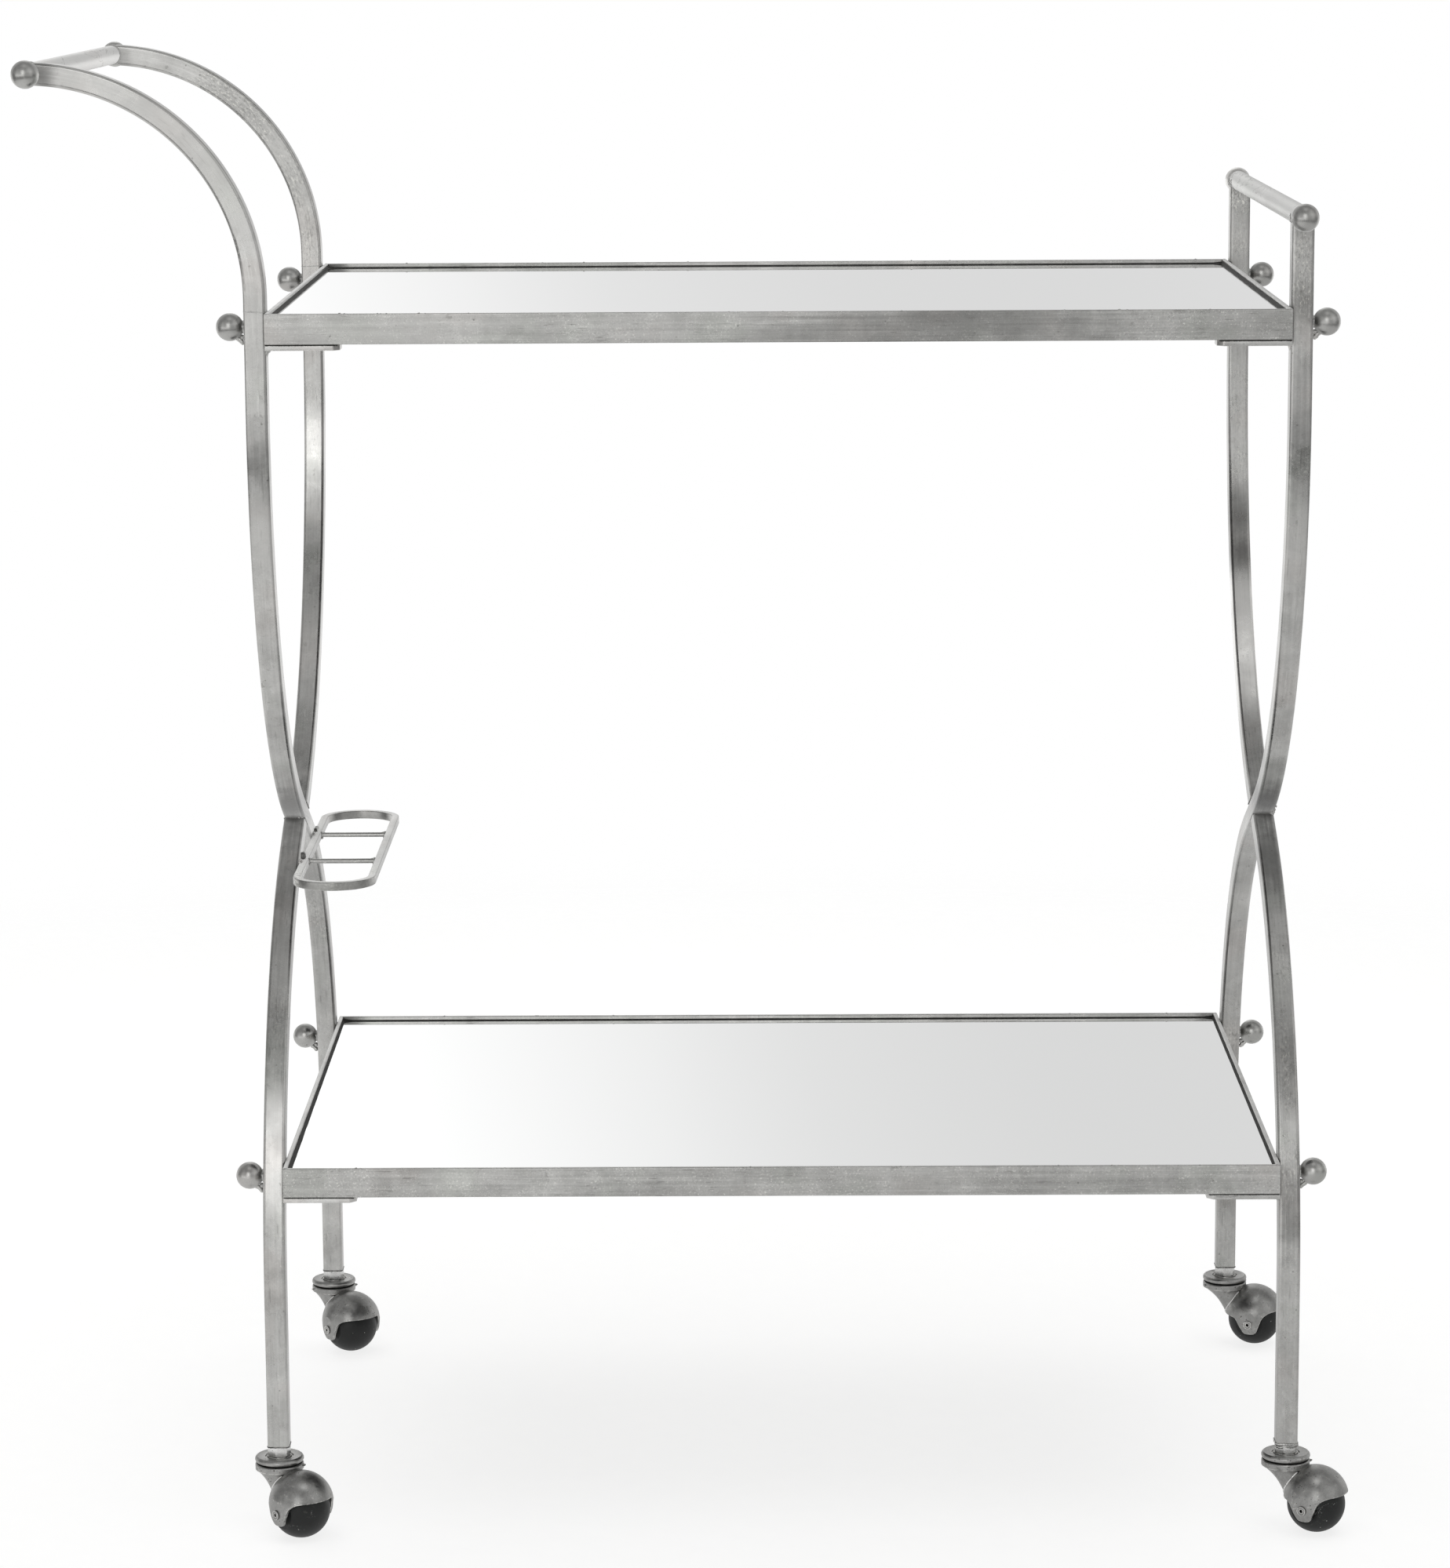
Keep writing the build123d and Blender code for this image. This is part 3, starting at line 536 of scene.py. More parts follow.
for n in nodes:
    if n.endswith("_front_rail"):
        paint(n, m_x)
    elif n.endswith("_rear_rail"):
        paint(n, m_rear)
    elif n.endswith("_support_tabs"):
        paint(n, m_tab)
    elif n.endswith("_left_rail") or n.endswith("_right_rail"):
        paint(n, m_y)
    elif n.endswith("_leg") or n.endswith("_arm"):
        paint(n, m_leg)
    elif n in ("handle_bar", "end_rail_bar"):
        paint(n, m_bar)
    elif n.endswith("_finials") or n.endswith("_ball_nuts"):
        paint(n, m_ball)
    elif n == "bottle_rack_hoop":
        paint(n, m_rack)
    elif n == "bottle_rack_rods":
        paint(n, m_x)
    elif n.endswith("_mirror"):
        paint(n, m_mirror)
    elif n.endswith("_board"):
        paint(n, m_board)
    elif n.endswith("_ball_wheel"):
        paint(n, m_rubber)
    elif n.endswith("_wheel_bush"):
        paint(n, m_nylon)
    elif n == "caster_caps":
        paint(n, m_cap)
    elif n == "caster_lock_nuts":
        paint(n, m_nut)
    elif n.endswith("_hood") or n.endswith("_axle"):
        paint(n, m_caster)
    else:
        paint(n, m_steel)


# ------------------------------------------------------------------ run of the leg tubes
SLANT = math.radians(66.0)
Y_TOP, Y_FOOT = 199.3, 208.0
R_UP, R_LOW = 310.0, 280.0
Z_UP, Z_LOW, Z_CROSS = 722.05, 157.56, 432.0
ARM_X, ARM_Z, ARM_R = -463.0, 794.0, 138.5


def leg_upper(y, z):
    """(along, across) on the upper half of a leg, for y on its own side, mm."""
    if z > Z_UP:
        return Z_UP - z, y - Y_TOP
    cy = Y_TOP - R_UP
    a = math.atan2(Z_UP - z, y - cy)
    if a <= SLANT:
        return R_UP * a, math.hypot(y - cy, Z_UP - z) - R_UP
    py, pz = cy + R_UP * math.cos(SLANT), Z_UP - R_UP * math.sin(SLANT)
    dy, dz = y - py, z - pz
    return R_UP * SLANT - dy * math.sin(SLANT) - dz * math.cos(SLANT), dy * math.cos(SLANT) - dz * math.sin(SLANT)


def leg_lower(y, z):
    """The same on the lower half, measured up from the foot's bend."""
    if z < Z_LOW:
        return z - Z_LOW, y - Y_FOOT
    cy = Y_FOOT - R_LOW
    a = math.atan2(z - Z_LOW, y - cy)
    if a <= SLANT:
        return R_LOW * a, math.hypot(y - cy, z - Z_LOW) - R_LOW
    py, pz = cy + R_LOW * math.cos(SLANT), Z_LOW + R_LOW * math.sin(SLANT)
    dy, dz = y - py, z - pz
    return R_LOW * SLANT - dy * math.sin(SLANT) + dz * math.cos(SLANT), dy * math.cos(SLANT) + dz * math.sin(SLANT)


LEG_OF = {"front_handle_arm": "left_through_leg", "rear_handle_arm": "left_upper_leg"}


def strand(o, name, index):
    """Writes each point's place in the tube: two offsets across it and the distance along it, in metres."""
    me = o.data
    co = np.zeros(len(me.vertices) * 3, np.float32)
    me.vertices.foreach_get("co", co)
    co = co.reshape(-1, 3) * 1000.0
    left = name.startswith("left")
    out = np.zeros_like(co)
    for i, (x, y, z) in enumerate(co.tolist()):
        x, y = x - OX, y - OY
        u = x + 324.5 if left else x - 324.5
        if "through" in name:
            s, low = (-1, False) if z >= Z_CROSS else (1, True)
        elif "upper" in name:
            s, low = 1, False
        else:
            s, low = -1, True
        if low:
            a, w = leg_lower(s * y, z)
            a = 372.0 + 45.85 + R_LOW * SLANT - a
        elif left and z > ARM_Z:
            f = math.atan2(z - ARM_Z, x - ARM_X)
            a, w = -(ARM_Z - Z_UP) - ARM_R * f, s * y - Y_TOP
            u = math.hypot(x - ARM_X, z - ARM_Z) - ARM_R
        else:
            a, w = leg_upper(s * y, z)
        out[i] = (u + 31.0 * index, w, a + 777.0 * index)
    at = me.attributes.new("strand", "FLOAT_VECTOR", "POINT")
    at.data.foreach_set("vector", (out * 0.001).astype(np.float32).ravel())


legs = sorted(n for n in nodes if n.endswith("_leg"))
for n in nodes:
    if n in legs or n in LEG_OF:
        own = LEG_OF.get(n, n)
        strand(nodes[n], own, legs.index(own))


# ------------------------------------------------------------------ softened edges
def soften(name, width, segments=2, angle=32.0):
    """Rubs a crisp edge round."""
    o = nodes[name]
    me = o.data
    if "custom_normal" in me.attributes:
        me.attributes.remove(me.attributes["custom_normal"])
    for p in me.polygons:
        p.use_smooth = True
    weld = o.modifiers.new("weld", "WELD")
    weld.merge_threshold = 1e-6
    bev = o.modifiers.new("edge", "BEVEL")
    bev.width = width * MM
    bev.segments = segments
    bev.limit_method = "ANGLE"
    bev.angle_limit = math.radians(angle)
    bev.harden_normals = False
    o.modifiers.new("normals", "WEIGHTED_NORMAL").keep_sharp = False


for n in nodes:
    if n.endswith("_rail"):
        soften(n, 0.55)
    elif n.endswith("_support_tabs"):
        soften(n, 0.5)
soften("bottle_rack_hoop", 0.6)
soften("caster_lock_nuts", 0.5)


# ------------------------------------------------------------------ mesh helpers for the added pieces
def piece(name, parts, mat, body="frame"):
    """One object from several closed (points in mm, faces) shells."""
    verts, faces = [], []
    for v, f in parts:
        k = len(verts)
        verts += [(p[0] * MM, p[1] * MM, p[2] * MM) for p in v]
        faces += [tuple(i + k for i in q) for q in f]
    me = bpy.data.meshes.new(name)
    me.from_pydata(verts, [], faces)
    bm = bmesh.new()
    bm.from_mesh(me)
    bmesh.ops.recalc_face_normals(bm, faces=bm.faces)
    bm.to_mesh(me)
    bm.free()
    for p in me.polygons:
        p.use_smooth = True
    me.materials.append(mat)
    o = bpy.data.objects.new(name, me)
    scene.collection.objects.link(o)
    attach(o, body)
    return o


def rough_at(p, size, seed):
    return noise.noise(Vector((p[0] / size + seed * 7.31, p[1] / size - seed * 3.7, p[2] / size + seed * 1.9)))


def bead(path, radius, seed, lump=0.25, ripple=0.0, sides=12, flat=None):
    """Closed lumpy bead of weld metal along a path. radius is a number or one per path point; flat is a
    direction along which the bead is pressed to a share of its thickness, as (vector, share)."""
    pts = [Vector(p) for p in path]
    rad = list(radius) if isinstance(radius, (list, tuple)) else [radius] * len(pts)
    run = [0.0]
    for a, b in zip(pts, pts[1:]):
        run.append(run[-1] + (b - a).length)
    total = run[-1]
    rmax = max(rad)
    count = max(8, int(total / (rmax * 0.3)))
    rows, centres = [], []
    for i in range(count + 1):
        # rounded ends: samples crowd towards both tips
        f = 0.5 - 0.5 * math.cos(math.pi * i / count)
        s = total * f
        j = max(k for k in range(len(run) - 1) if run[k] <= s + 1e-9)
        g = (s - run[j]) / max(1e-9, run[j + 1] - run[j])
        c = pts[j].lerp(pts[j + 1], g)
        r = rad[j] + (rad[j + 1] - rad[j]) * g
        tan = (pts[j + 1] - pts[j]).normalized()
        end = min(s, total - s)
        if end < r:
            r *= math.sqrt(max(0.0, 1 - (1 - end / r) ** 2))
        r *= 1 + ripple * math.sin(2 * math.pi * s / (1.1 * rmax) + seed)
        rows.append((c, tan, r))
    verts, faces = [], []
    ref = Vector((0.13, 0.31, 0.94))
    rings = []
    for k, (c, tan, r) in enumerate(rows):
        if k in (0, len(rows) - 1):
            rings.append([len(verts)])
            verts.append(c)
            continue
        e1 = tan.cross(ref).normalized()
        e2 = tan.cross(e1)
        ring = []
        for q in range(sides):
            a = 2 * math.pi * q / sides
            d = e1 * math.cos(a) + e2 * math.sin(a)
            p = c + d * r
            p = c + d * r * (1 + lump * rough_at(p, rmax * 1.3, seed) + 0.5 * lump * rough_at(p, rmax * 0.6, seed + 5))
            if flat is not None:
                nrm, share = Vector(flat[0]), flat[1]
                p = p - nrm * (p - c).dot(nrm) * (1 - share)
            ring.append(len(verts))
            verts.append(p)
        rings.append(ring)
    for a, b in zip(rings, rings[1:]):
        for q in range(sides):
            q2 = (q + 1) % sides
            if len(a) == 1:
                faces.append((a[0], b[q], b[q2]))
            elif len(b) == 1:
                faces.append((a[q], b[0], a[q2]))
            else:
                faces.append((a[q], b[q], b[q2], a[q2]))
    return [tuple(v) for v in verts], faces


def fillet(x, face, y0, y1, z, size, seed):
    """Closed concave fillet of weld in the corner under a ledge at height z, against a wall at x that faces +1 or -1."""
    section = [(0, 0.4), (1.0, 0.4), (1.0, -0.02), (0.62, -0.16), (0.36, -0.36), (0.16, -0.64), (0.0, -1.05), (-0.3, -1.0), (-0.3, 0.4)]
    rows = 9
    verts, faces = [], []
    for i in range(rows):
        f = i / (rows - 1)
        y = y0 + (y1 - y0) * f
        k = size * (0.45 + 0.55 * math.sin(math.pi * min(1, max(0, f * 0.86 + 0.07))))
        for u, w in section:
            p = Vector((x + face * u * k, y, z + w * k))
            n = 0.12 * size * rough_at(p, 1.6, seed) if 0 < u and w < 0.3 else 0.0
            verts.append((p.x + face * n, p.y, p.z - n))
    m = len(section)
    for i in range(rows - 1):
        for q in range(m):
            q2 = (q + 1) % m
            faces.append((i * m + q, (i + 1) * m + q, (i + 1) * m + q2, i * m + q2))
    faces.append(tuple(range(m)))
    faces.append(tuple((rows - 1) * m + q for q in reversed(range(m))))
    return verts, faces


def leg_y(z, upper):
    """Distance of a leg's middle line from the end frame's middle at height z, mm."""
    if upper:
        if z >= Z_UP:
            return Y_TOP
        s = min(1.0, (Z_UP - z) / R_UP)
        if s <= math.sin(SLANT):
            return Y_TOP - R_UP * (1 - math.sqrt(1 - s * s))
    else:
        if z <= Z_LOW:
            return Y_FOOT
        s = min(1.0, (z - Z_LOW) / R_LOW)
        if s <= math.sin(SLANT):
            return Y_FOOT - R_LOW * (1 - math.sqrt(1 - s * s))
    return abs(z - Z_CROSS) * math.tan(SLANT)


# ------------------------------------------------------------------ welds at the crossings
HALF = TUBE / 2
NOTCH = HALF / math.cos(SLANT)
PEAK = HALF / math.sin(SLANT)
parts, burnt = [], []
for k, x in enumerate(LEG_X):
    out = -1 if k == 0 else 1
    for s in (-1, 1):
        y = OY + s * (NOTCH + 0.2)
        # a thin run across the notch, then the lumps that were left on it
        burnt.append(bead([(x - 6.3, y + s * 0.1, Z_CROSS), (x, y + s * 0.2, Z_CROSS + 0.2), (x + 6.3, y, Z_CROSS)],
                          0.75, 1 + k * 3 + s, lump=0.35, ripple=0.06))
    if k == 0:
        lumps = [(-1.2, 0.6, 1.4), (1.0, 0.8, 1.2), (3.2, 0.5, 1.5), (5.2, 0.4, 1.1)]
    else:
        lumps = [(-4.6, 0.7, 1.0), (2.8, 0.9, 1.3), (5.2, 0.4, 2.1), (6.4, 1.8, 1.4), (6.6, 4.2, 1.0), (6.7, 7.6, 0.9)]
    for i, (dx, dz, r) in enumerate(lumps):
        z = Z_CROSS + dz
        y = OY - NOTCH + 0.3 - 0.2 * i - dz * 1.9 * (1 if dz > 1 else 0)
        parts.append(bead([(x + dx - r * 0.7, y, z), (x + dx + r * 0.7, y - 0.1, z + 0.1)], r, 11 + i + 7 * k, lump=0.4))
    # ground welds along the butt joints, on both sides of the tube
    for face in (-1, 1):
        xf = x + face * (HALF - 0.12)
        for (y0, z0), (y1, z1) in (((OY, Z_CROSS + PEAK), (OY + NOTCH, Z_CROSS)), ((OY - NOTCH, Z_CROSS), (OY, Z_CROSS - PEAK))):
            mid = [(xf, y0 + (y1 - y0) * f, z0 + (z1 - z0) * f) for f in (0.04, 0.3, 0.62, 0.96)]
            burnt.append(bead(mid, [0.5, 0.62, 0.5, 0.7], 21 + face + k, lump=0.3, flat=((1, 0, 0), 0.55)))
        # rough run inside the open corners above and below
        for z, s in ((Z_CROSS + PEAK, 1), (Z_CROSS - PEAK, -1)):
            parts.append(bead([(x - 5.6, OY + 0.6 * face, z - s * 0.25), (x, OY - 0.4 * face, z + s * 0.05), (x + 5.6, OY + 0.5 * face, z - s * 0.2)],
                              1.1, 31 + face * 2 + k + s, lump=0.35, ripple=0.08))
piece("crossing_welds", parts, m_weld)
piece("crossing_seams", burnt, m_burn)

# ------------------------------------------------------------------ fillets under the support tabs
parts = []
for j, (node, upper) in enumerate((("upper_support_tabs", True), ("lower_support_tabs", False))):
    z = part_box(node)[0].z / MM
    for k, x in enumerate(LEG_X):
        face = 1 if k == 0 else -1
        wall = x + face * HALF
        for s in (-1, 1):
            y = OY + s * leg_y(z - 2, upper)
            a, b = sorted((y - 6.3, y + 6.3))
            edge = (-206.0, -185.0) if s < 0 else (207.0, 228.0)
            parts.append(fillet(wall, face, max(a, edge[0]), min(b, edge[1]), z, 4.3 + 0.5 * ((j + k + s) % 3), 41 + j * 4 + k * 2 + s))
piece("tab_weld_fillets", parts, m_weld)

# ------------------------------------------------------------------ painted shadow lines over the tabs and at the feet: dark beads laid in the corners where shade falls
parts = []
for node in ("upper_support_tabs", "lower_support_tabs"):
    lo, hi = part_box(node)
    z, y0, y1 = hi.z / MM, lo.y / MM, hi.y / MM
    for k, (a, b) in enumerate(((-265.6, -220.4), (369.0, 323.8))):
        for y in (y0 - 0.12, y1 + 0.12):
            path = [(a + (b - a) * f, y, z - 0.36) for f in (0, 0.25, 0.5, 0.75, 1)]
            parts.append(bead(path, 0.62, 61 + k + int(y), lump=0.3, sides=8))
piece("tab_shadow_lines", parts, m_putty_shade)

# painted shadow: a dark ring round each leg's foot, where the leg meets the nut
parts = []
for x in LEG_X:
    for y in (OY - Y_FOOT, OY + Y_FOOT):
        ring, h, r = [], HALF - 0.05, 2.0
        for cx, cy, a0 in ((h - r, h - r, 0), (r - h, h - r, 90), (r - h, r - h, 180), (h - r, r - h, 270)):
            ring += [(x + cx + r * math.cos(math.radians(a0 + 22.5 * i)), y + cy + r * math.sin(math.radians(a0 + 22.5 * i)), 56.1) for i in range(5)]
        parts.append(bead(ring + ring[:1], 0.44, 65 + int(x + y), lump=0.2, sides=8))
piece("foot_shadow_lines", parts, m_foot_shadow)

# filed butt welds where the handle arms stand on the legs, and the rough collar at the front right foot
def square_ring(x, y, z, half, r, tilt=0.0):
    ring = []
    for cx, cy, a0 in ((half - r, half - r, 0), (r - half, half - r, 90), (r - half, r - half, 180), (half - r, r - half, 270)):
        for i in range(5):
            a = math.radians(a0 + 22.5 * i)
            px, py = cx + r * math.cos(a), cy + r * math.sin(a)
            ring.append((x + px, y + py, z + tilt * px / half))
    return ring + ring[:1]


parts = []
for s in (-1, 1):
    parts.append(bead(square_ring(LX, OY + s * Y_TOP, 785.6, HALF - 0.12, 2.0, 0.25 * s), 0.32, 171 + s, lump=0.35, sides=8))
parts.append(bead(square_ring(RX, OY - Y_FOOT, 55.6, HALF - 0.25, 2.0, -0.3), 0.95, 175, lump=0.45, ripple=0.05))
parts.append(bead(square_ring(RX, OY - Y_FOOT, 53.9, HALF - 0.9, 3.0, 0.2), 0.95, 176, lump=0.5))
piece("arm_and_foot_welds", parts, m_weld)

# ------------------------------------------------------------------ solder runs under the ball nuts
parts = []
for j, (z, upper) in enumerate(((776.0, True), (232.5, False))):
    for k, x in enumerate(LEG_X):
        out = -1 if k == 0 else 1
        wall = x + out * HALF
        for s in (-1, 1):
            y = OY + s * (leg_y(z, upper))
            sd = 51 + j * 5 + k * 2 + s
            lean = 0.8 * rough_at((sd, 1, 2), 1.0, 3)
            parts.append(bead([(wall + out * 5.6, y - 1.2 + lean, z - 6.3), (wall + out * 2.6, y - 1.6, z - 8.0),
                               (wall + out * 0.2, y - 1.8 - lean, z - 10.6)], [1.3, 1.5, 1.5], sd, lump=0.32))
            parts.append(bead([(wall + out * 0.6, y - 1.4, z - 4.6), (wall + out * 1.6, y - 1.4, z - 7.8)], [1.9, 1.7], sd + 9, lump=0.35))
            # a scar of weld round the stud, between ball and tube
            ring = [(wall + out * 0.25, y + 3.6 * math.cos(a), z + 3.6 * math.sin(a)) for a in [2 * math.pi * i / 14 for i in range(14)]]
            parts.append(bead(ring, 0.75, sd + 13, lump=0.35))
piece("nut_solder_runs", parts, m_weld)

# ------------------------------------------------------------------ welds on the bottle rack
lo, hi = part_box("bottle_rack_rods")
rz = (lo.z + hi.z) / 2 / MM
hlo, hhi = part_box("bottle_rack_hoop")
top, bottom = hhi.z / MM, hlo.z / MM
x0, x1 = lo.x / MM, hi.x / MM
parts, burnt = [], []
for i, y in enumerate((OY - 47.0, OY + 47.0)):
    for j, (x, d) in enumerate(((x0, 1), (x1, -1))):
        sd = 71 + i * 3 + j
        ring = [(x + d * 0.3, y + 1.9 * math.cos(a), rz + 1.7 * math.sin(a)) for a in [2 * math.pi * q / 12 for q in range(13)]]
        parts.append(bead(ring, 0.75, sd, lump=0.4))
        parts.append(bead([(x + d * 0.2, y - 1.5, rz - 1.6), (x + d * 1.6, y - 1.2, rz - 2.1)], 1.3, sd + 7, lump=0.45))
        parts.append(bead([(x + d * 0.6, y + 0.6, rz + 1.2), (x + d * 3.4, y + 0.2, rz + 0.9)], [1.0, 0.6], sd + 11, lump=0.4))
wall = LX + HALF
zt = top
for s in (-1, 1):
    y = OY + s * leg_y(zt, False)
    for e in (-1, 1):
        sd = 91 + s * 2 + e
        yy = y + e * 11.0
        parts.append(bead([(wall + 0.5, yy - 4.2, top + 0.2), (wall + 0.9, yy, top + 0.5), (wall + 0.5, yy + 4.2, top + 0.1)],
                          1.15, sd, lump=0.4, ripple=0.1))
        parts.append(bead([(wall + 0.5, yy - 4.0, bottom - 0.1), (wall + 0.7, yy + 4.0, bottom - 0.2)], 1.1, sd + 5, lump=0.4))
# the burnt lump where the hoop was tacked to the front leg
yb = OY - leg_y(zt + 2, False) - 5.0
burnt.append(bead([(wall + 0.6, yb - 2.2, top + 0.6), (wall + 1.2, yb, top + 2.4), (wall + 0.8, yb + 2.4, top + 1.2)], [2.0, 2.8, 2.0], 97, lump=0.4))
burnt.append(bead([(wall + 0.6, OY + leg_y(zt + 2, False) + 3.0, top + 0.4), (wall + 0.9, OY + leg_y(zt + 2, False) + 6.0, top + 0.8)], 1.6, 98, lump=0.4))
piece("rack_welds", parts, m_weld)
piece("rack_burnt_tack", burnt, m_burn)

# ------------------------------------------------------------------ welds at the handle and the end rail
parts, burnt = [], []
hx, hz = -409.3, 932.5
ex, ez = RX, 841.0
for s in (-1, 1):
    y = OY + s * Y_TOP
    for e in (-1, 1):
        ye = y + e * (HALF + 0.1)
        sd = 111 + s * 3 + e
        arc = [(hx + 6.5 * math.cos(a), ye, hz + 6.5 * math.sin(a)) for a in [math.radians(-105 + 210 * i / 14) for i in range(15)]]
        parts.append(bead(arc, 0.95 if e * s < 0 else 0.8, sd, lump=0.3, ripple=0.06))
        arc = [(ex + 6.5 * math.cos(a), ye, ez + 6.5 * math.sin(a)) for a in [math.radians(-195 + 210 * i / 14) for i in range(15)]]
        parts.append(bead(arc, 0.85, sd + 20, lump=0.35, ripple=0.06))
    # under and over the arm, and down both sides of the post
    for dz in (-1, 1):
        parts.append(bead([(hx + 5.3, y - 6.4, hz + dz * 4.4), (hx + 5.5, y, hz + dz * 4.6), (hx + 5.3, y + 6.4, hz + dz * 4.4)],
                          0.9, 131 + s + dz * 3, lump=0.35, ripple=0.06))
    for dx in (-1, 1):
        parts.append(bead([(ex + dx * 6.5, y - 6.4, ez - 2.6), (ex + dx * 6.6, y, ez - 2.9), (ex + dx * 6.5, y + 6.4, ez - 2.6)],
                          1.0, 141 + s + dx * 3, lump=0.4, ripple=0.08))
    # spatter left on the post's faces
    for i in range(5):
        px = ex + 9.0 * (rough_at((i, s, 3), 1.0, 4))
        pz = ez - 9.0 - 2.4 * i - 2.0 * rough_at((i, s, 5), 1.0, 2)
        for fy in (-1, 1):
            parts.append(bead([(px - 0.5, y + fy * (HALF - 0.05), pz), (px + 0.5, y + fy * (HALF - 0.05), pz + 0.3)],
                              0.75 + 0.25 * rough_at((i, fy, s), 1.0, 6), 151 + i + s + fy * 7, lump=0.4, flat=((0, 1, 0), 0.6)))
piece("handle_and_rail_welds", parts, m_weld)

# ------------------------------------------------------------------ putty round the mirrors, raised up the side walls as painted shade; burrs on the rims
def ring_strip(z, widths, heights, seed):
    """Closed strip with a hollow face round a tray, in the corner between rim and mirror: putty under the mirror, and
    painted shade where it is drawn high up the walls.
    widths (start and end) and heights are for the front, right, rear and left sides."""
    xs, ys = (-262.8, 366.2), (-205.0, 227.0)
    section = [(-0.2, 0.95), (0.10, 0.90), (0.26, 0.52), (0.52, 0.26), (0.92, 0.08), (1.0, -0.04), (-0.2, -0.04)]
    corner = [(xs[0], ys[0], 1, 1), (xs[1], ys[0], -1, 1), (xs[1], ys[1], -1, -1), (xs[0], ys[1], 1, -1)]
    verts, faces = [], []
    for i in range(4):
        a, b = corner[i], corner[(i + 1) % 4]
        n = 90 if i % 2 == 0 else 62
        for k in range(n):
            f = k / n
            x, y = a[0] + (b[0] - a[0]) * f, a[1] + (b[1] - a[1]) * f
            lump = 1 + 0.10 * rough_at((x, y, z), 22.0, seed) + 0.07 * rough_at((x, y, z), 6.0, seed + 2)
            wide, high = widths[i][0] + (widths[i][1] - widths[i][0]) * f, heights[i]
            step = [((0, wide), (-wide, 0), (0, -wide), (wide, 0))[i][q] for q in (0, 1)]
            if k == 0:
                before = widths[i - 1][1]
                pair = (before, wide) if i % 2 == 0 else (wide, before)
                step = [a[2] * pair[0], a[3] * pair[1]]
                high = 0.5 * (high + heights[i - 1])
            for u, w in section:
                g = lump if u > 0 else 1.0
                up = min(w * high * lump, 2.86) if w > 0 else w
                verts.append((x + step[0] * u * g, y + step[1] * u * g, z + up))
    m = len(section)
    n = len(verts) // m
    for i in range(n):
        j = (i + 1) % n
        for q in range(m):
            q2 = (q + 1) % m
            faces.append((i * m + q, j * m + q, j * m + q2, i * m + q2))
    return verts, faces


# the right and left sides are drawn high up the inner walls as painted shade
for level, seed, widths, heights in (
        ("upper", 3, ((0.8, 0.8), (0.9, 0.9), (0.8, 0.8), (0.8, 1.0)), (0.8, 2.2, 0.8, 1.9)),
        ("lower", 8, ((0.8, 0.8), (1.0, 1.0), (0.8, 0.8), (1.2, 2.1)), (0.8, 2.8, 0.8, 2.8))):
    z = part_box(f"{level}_mirror")[1].z / MM
    piece(f"{level}_mirror_bedding_and_shade", [ring_strip(z, widths, heights, seed)], m_putty_shade)

parts = []
pick = random.Random(11)
for level, ztop in (("upper", 785.5), ("lower", 242.0)):
    spots = [(-219.0, 0.8), (-216.0, 0.6), (-190.0, 0.55), (-170.0, 0.75), (-166.0, 0.5), (228.0, 0.7), (262.0, 0.9), (267.0, 0.6), (318.0, 0.6)]
    spots += [(pick.uniform(-250, 350), pick.uniform(0.35, 0.6)) for _ in range(8)]
    for i, (x, r) in enumerate(spots):
        y = -208.0 + pick.uniform(0.4, 1.6)
        parts.append(bead([(x - 1.1 * r, y, ztop - 0.1), (x + 1.1 * r, y + 0.2, ztop - 0.05)], r, 201 + i, lump=0.45, flat=((0, 0, 1), 0.7)))
    for i in range(7):
        x = pick.uniform(-250, 350)
        parts.append(bead([(x - 0.6, 228.6, ztop - 0.1), (x + 0.8, 228.4, ztop - 0.05)], pick.uniform(0.4, 0.8), 231 + i, lump=0.45, flat=((0, 0, 1), 0.7)))
    # welded and filed mitres at the corners
    for cx, cy, dx, dy in ((-265.8, -208.0, 1, 1), (369.2, -208.0, -1, 1), (369.2, 230.0, -1, -1), (-265.8, 230.0, 1, -1)):
        parts.append(bead([(cx + dx * 0.5, cy + dy * 0.5, ztop - 0.25), (cx + dx * 1.6, cy + dy * 1.6, ztop - 0.18), (cx + dx * 2.8, cy + dy * 2.8, ztop - 0.3)],
                          0.55, 251 + int(cx + cy), lump=0.4, flat=((0, 0, 1), 0.7)))
piece("rim_burrs_and_mitres", parts, m_weld)

# ------------------------------------------------------------------ burrs on the caster heads
stems = {"front_left": (LX, -197.0), "front_right": (RX, -197.0), "rear_left": (LX, 219.0), "rear_right": (RX, 219.0)}
for k, (c, (sx, sy)) in enumerate(stems.items()):
    parts = []
    for a, r, h in ((math.radians(-8 + 9 * k), 1.25, 42.9), (math.radians((150, 125, 205, 200)[k]), 0.8, 42.3), (math.radians(262 + 11 * k), 0.7, 43.2)):
        ca, sa = math.cos(a), math.sin(a)
        parts.append(bead([(sx + 14.6 * ca, sy + 14.6 * sa, h), (sx + 15.9 * ca, sy + 15.9 * sa, h + 0.1), (sx + 17.4 * ca, sy + 17.4 * sa, h + 0.35)],
                          [r, r * 0.8, r * 0.22], 301 + k * 3 + int(h), lump=0.35))
    piece(f"{c}_caster_burrs", parts, m_caster, body=f"{c}_caster")


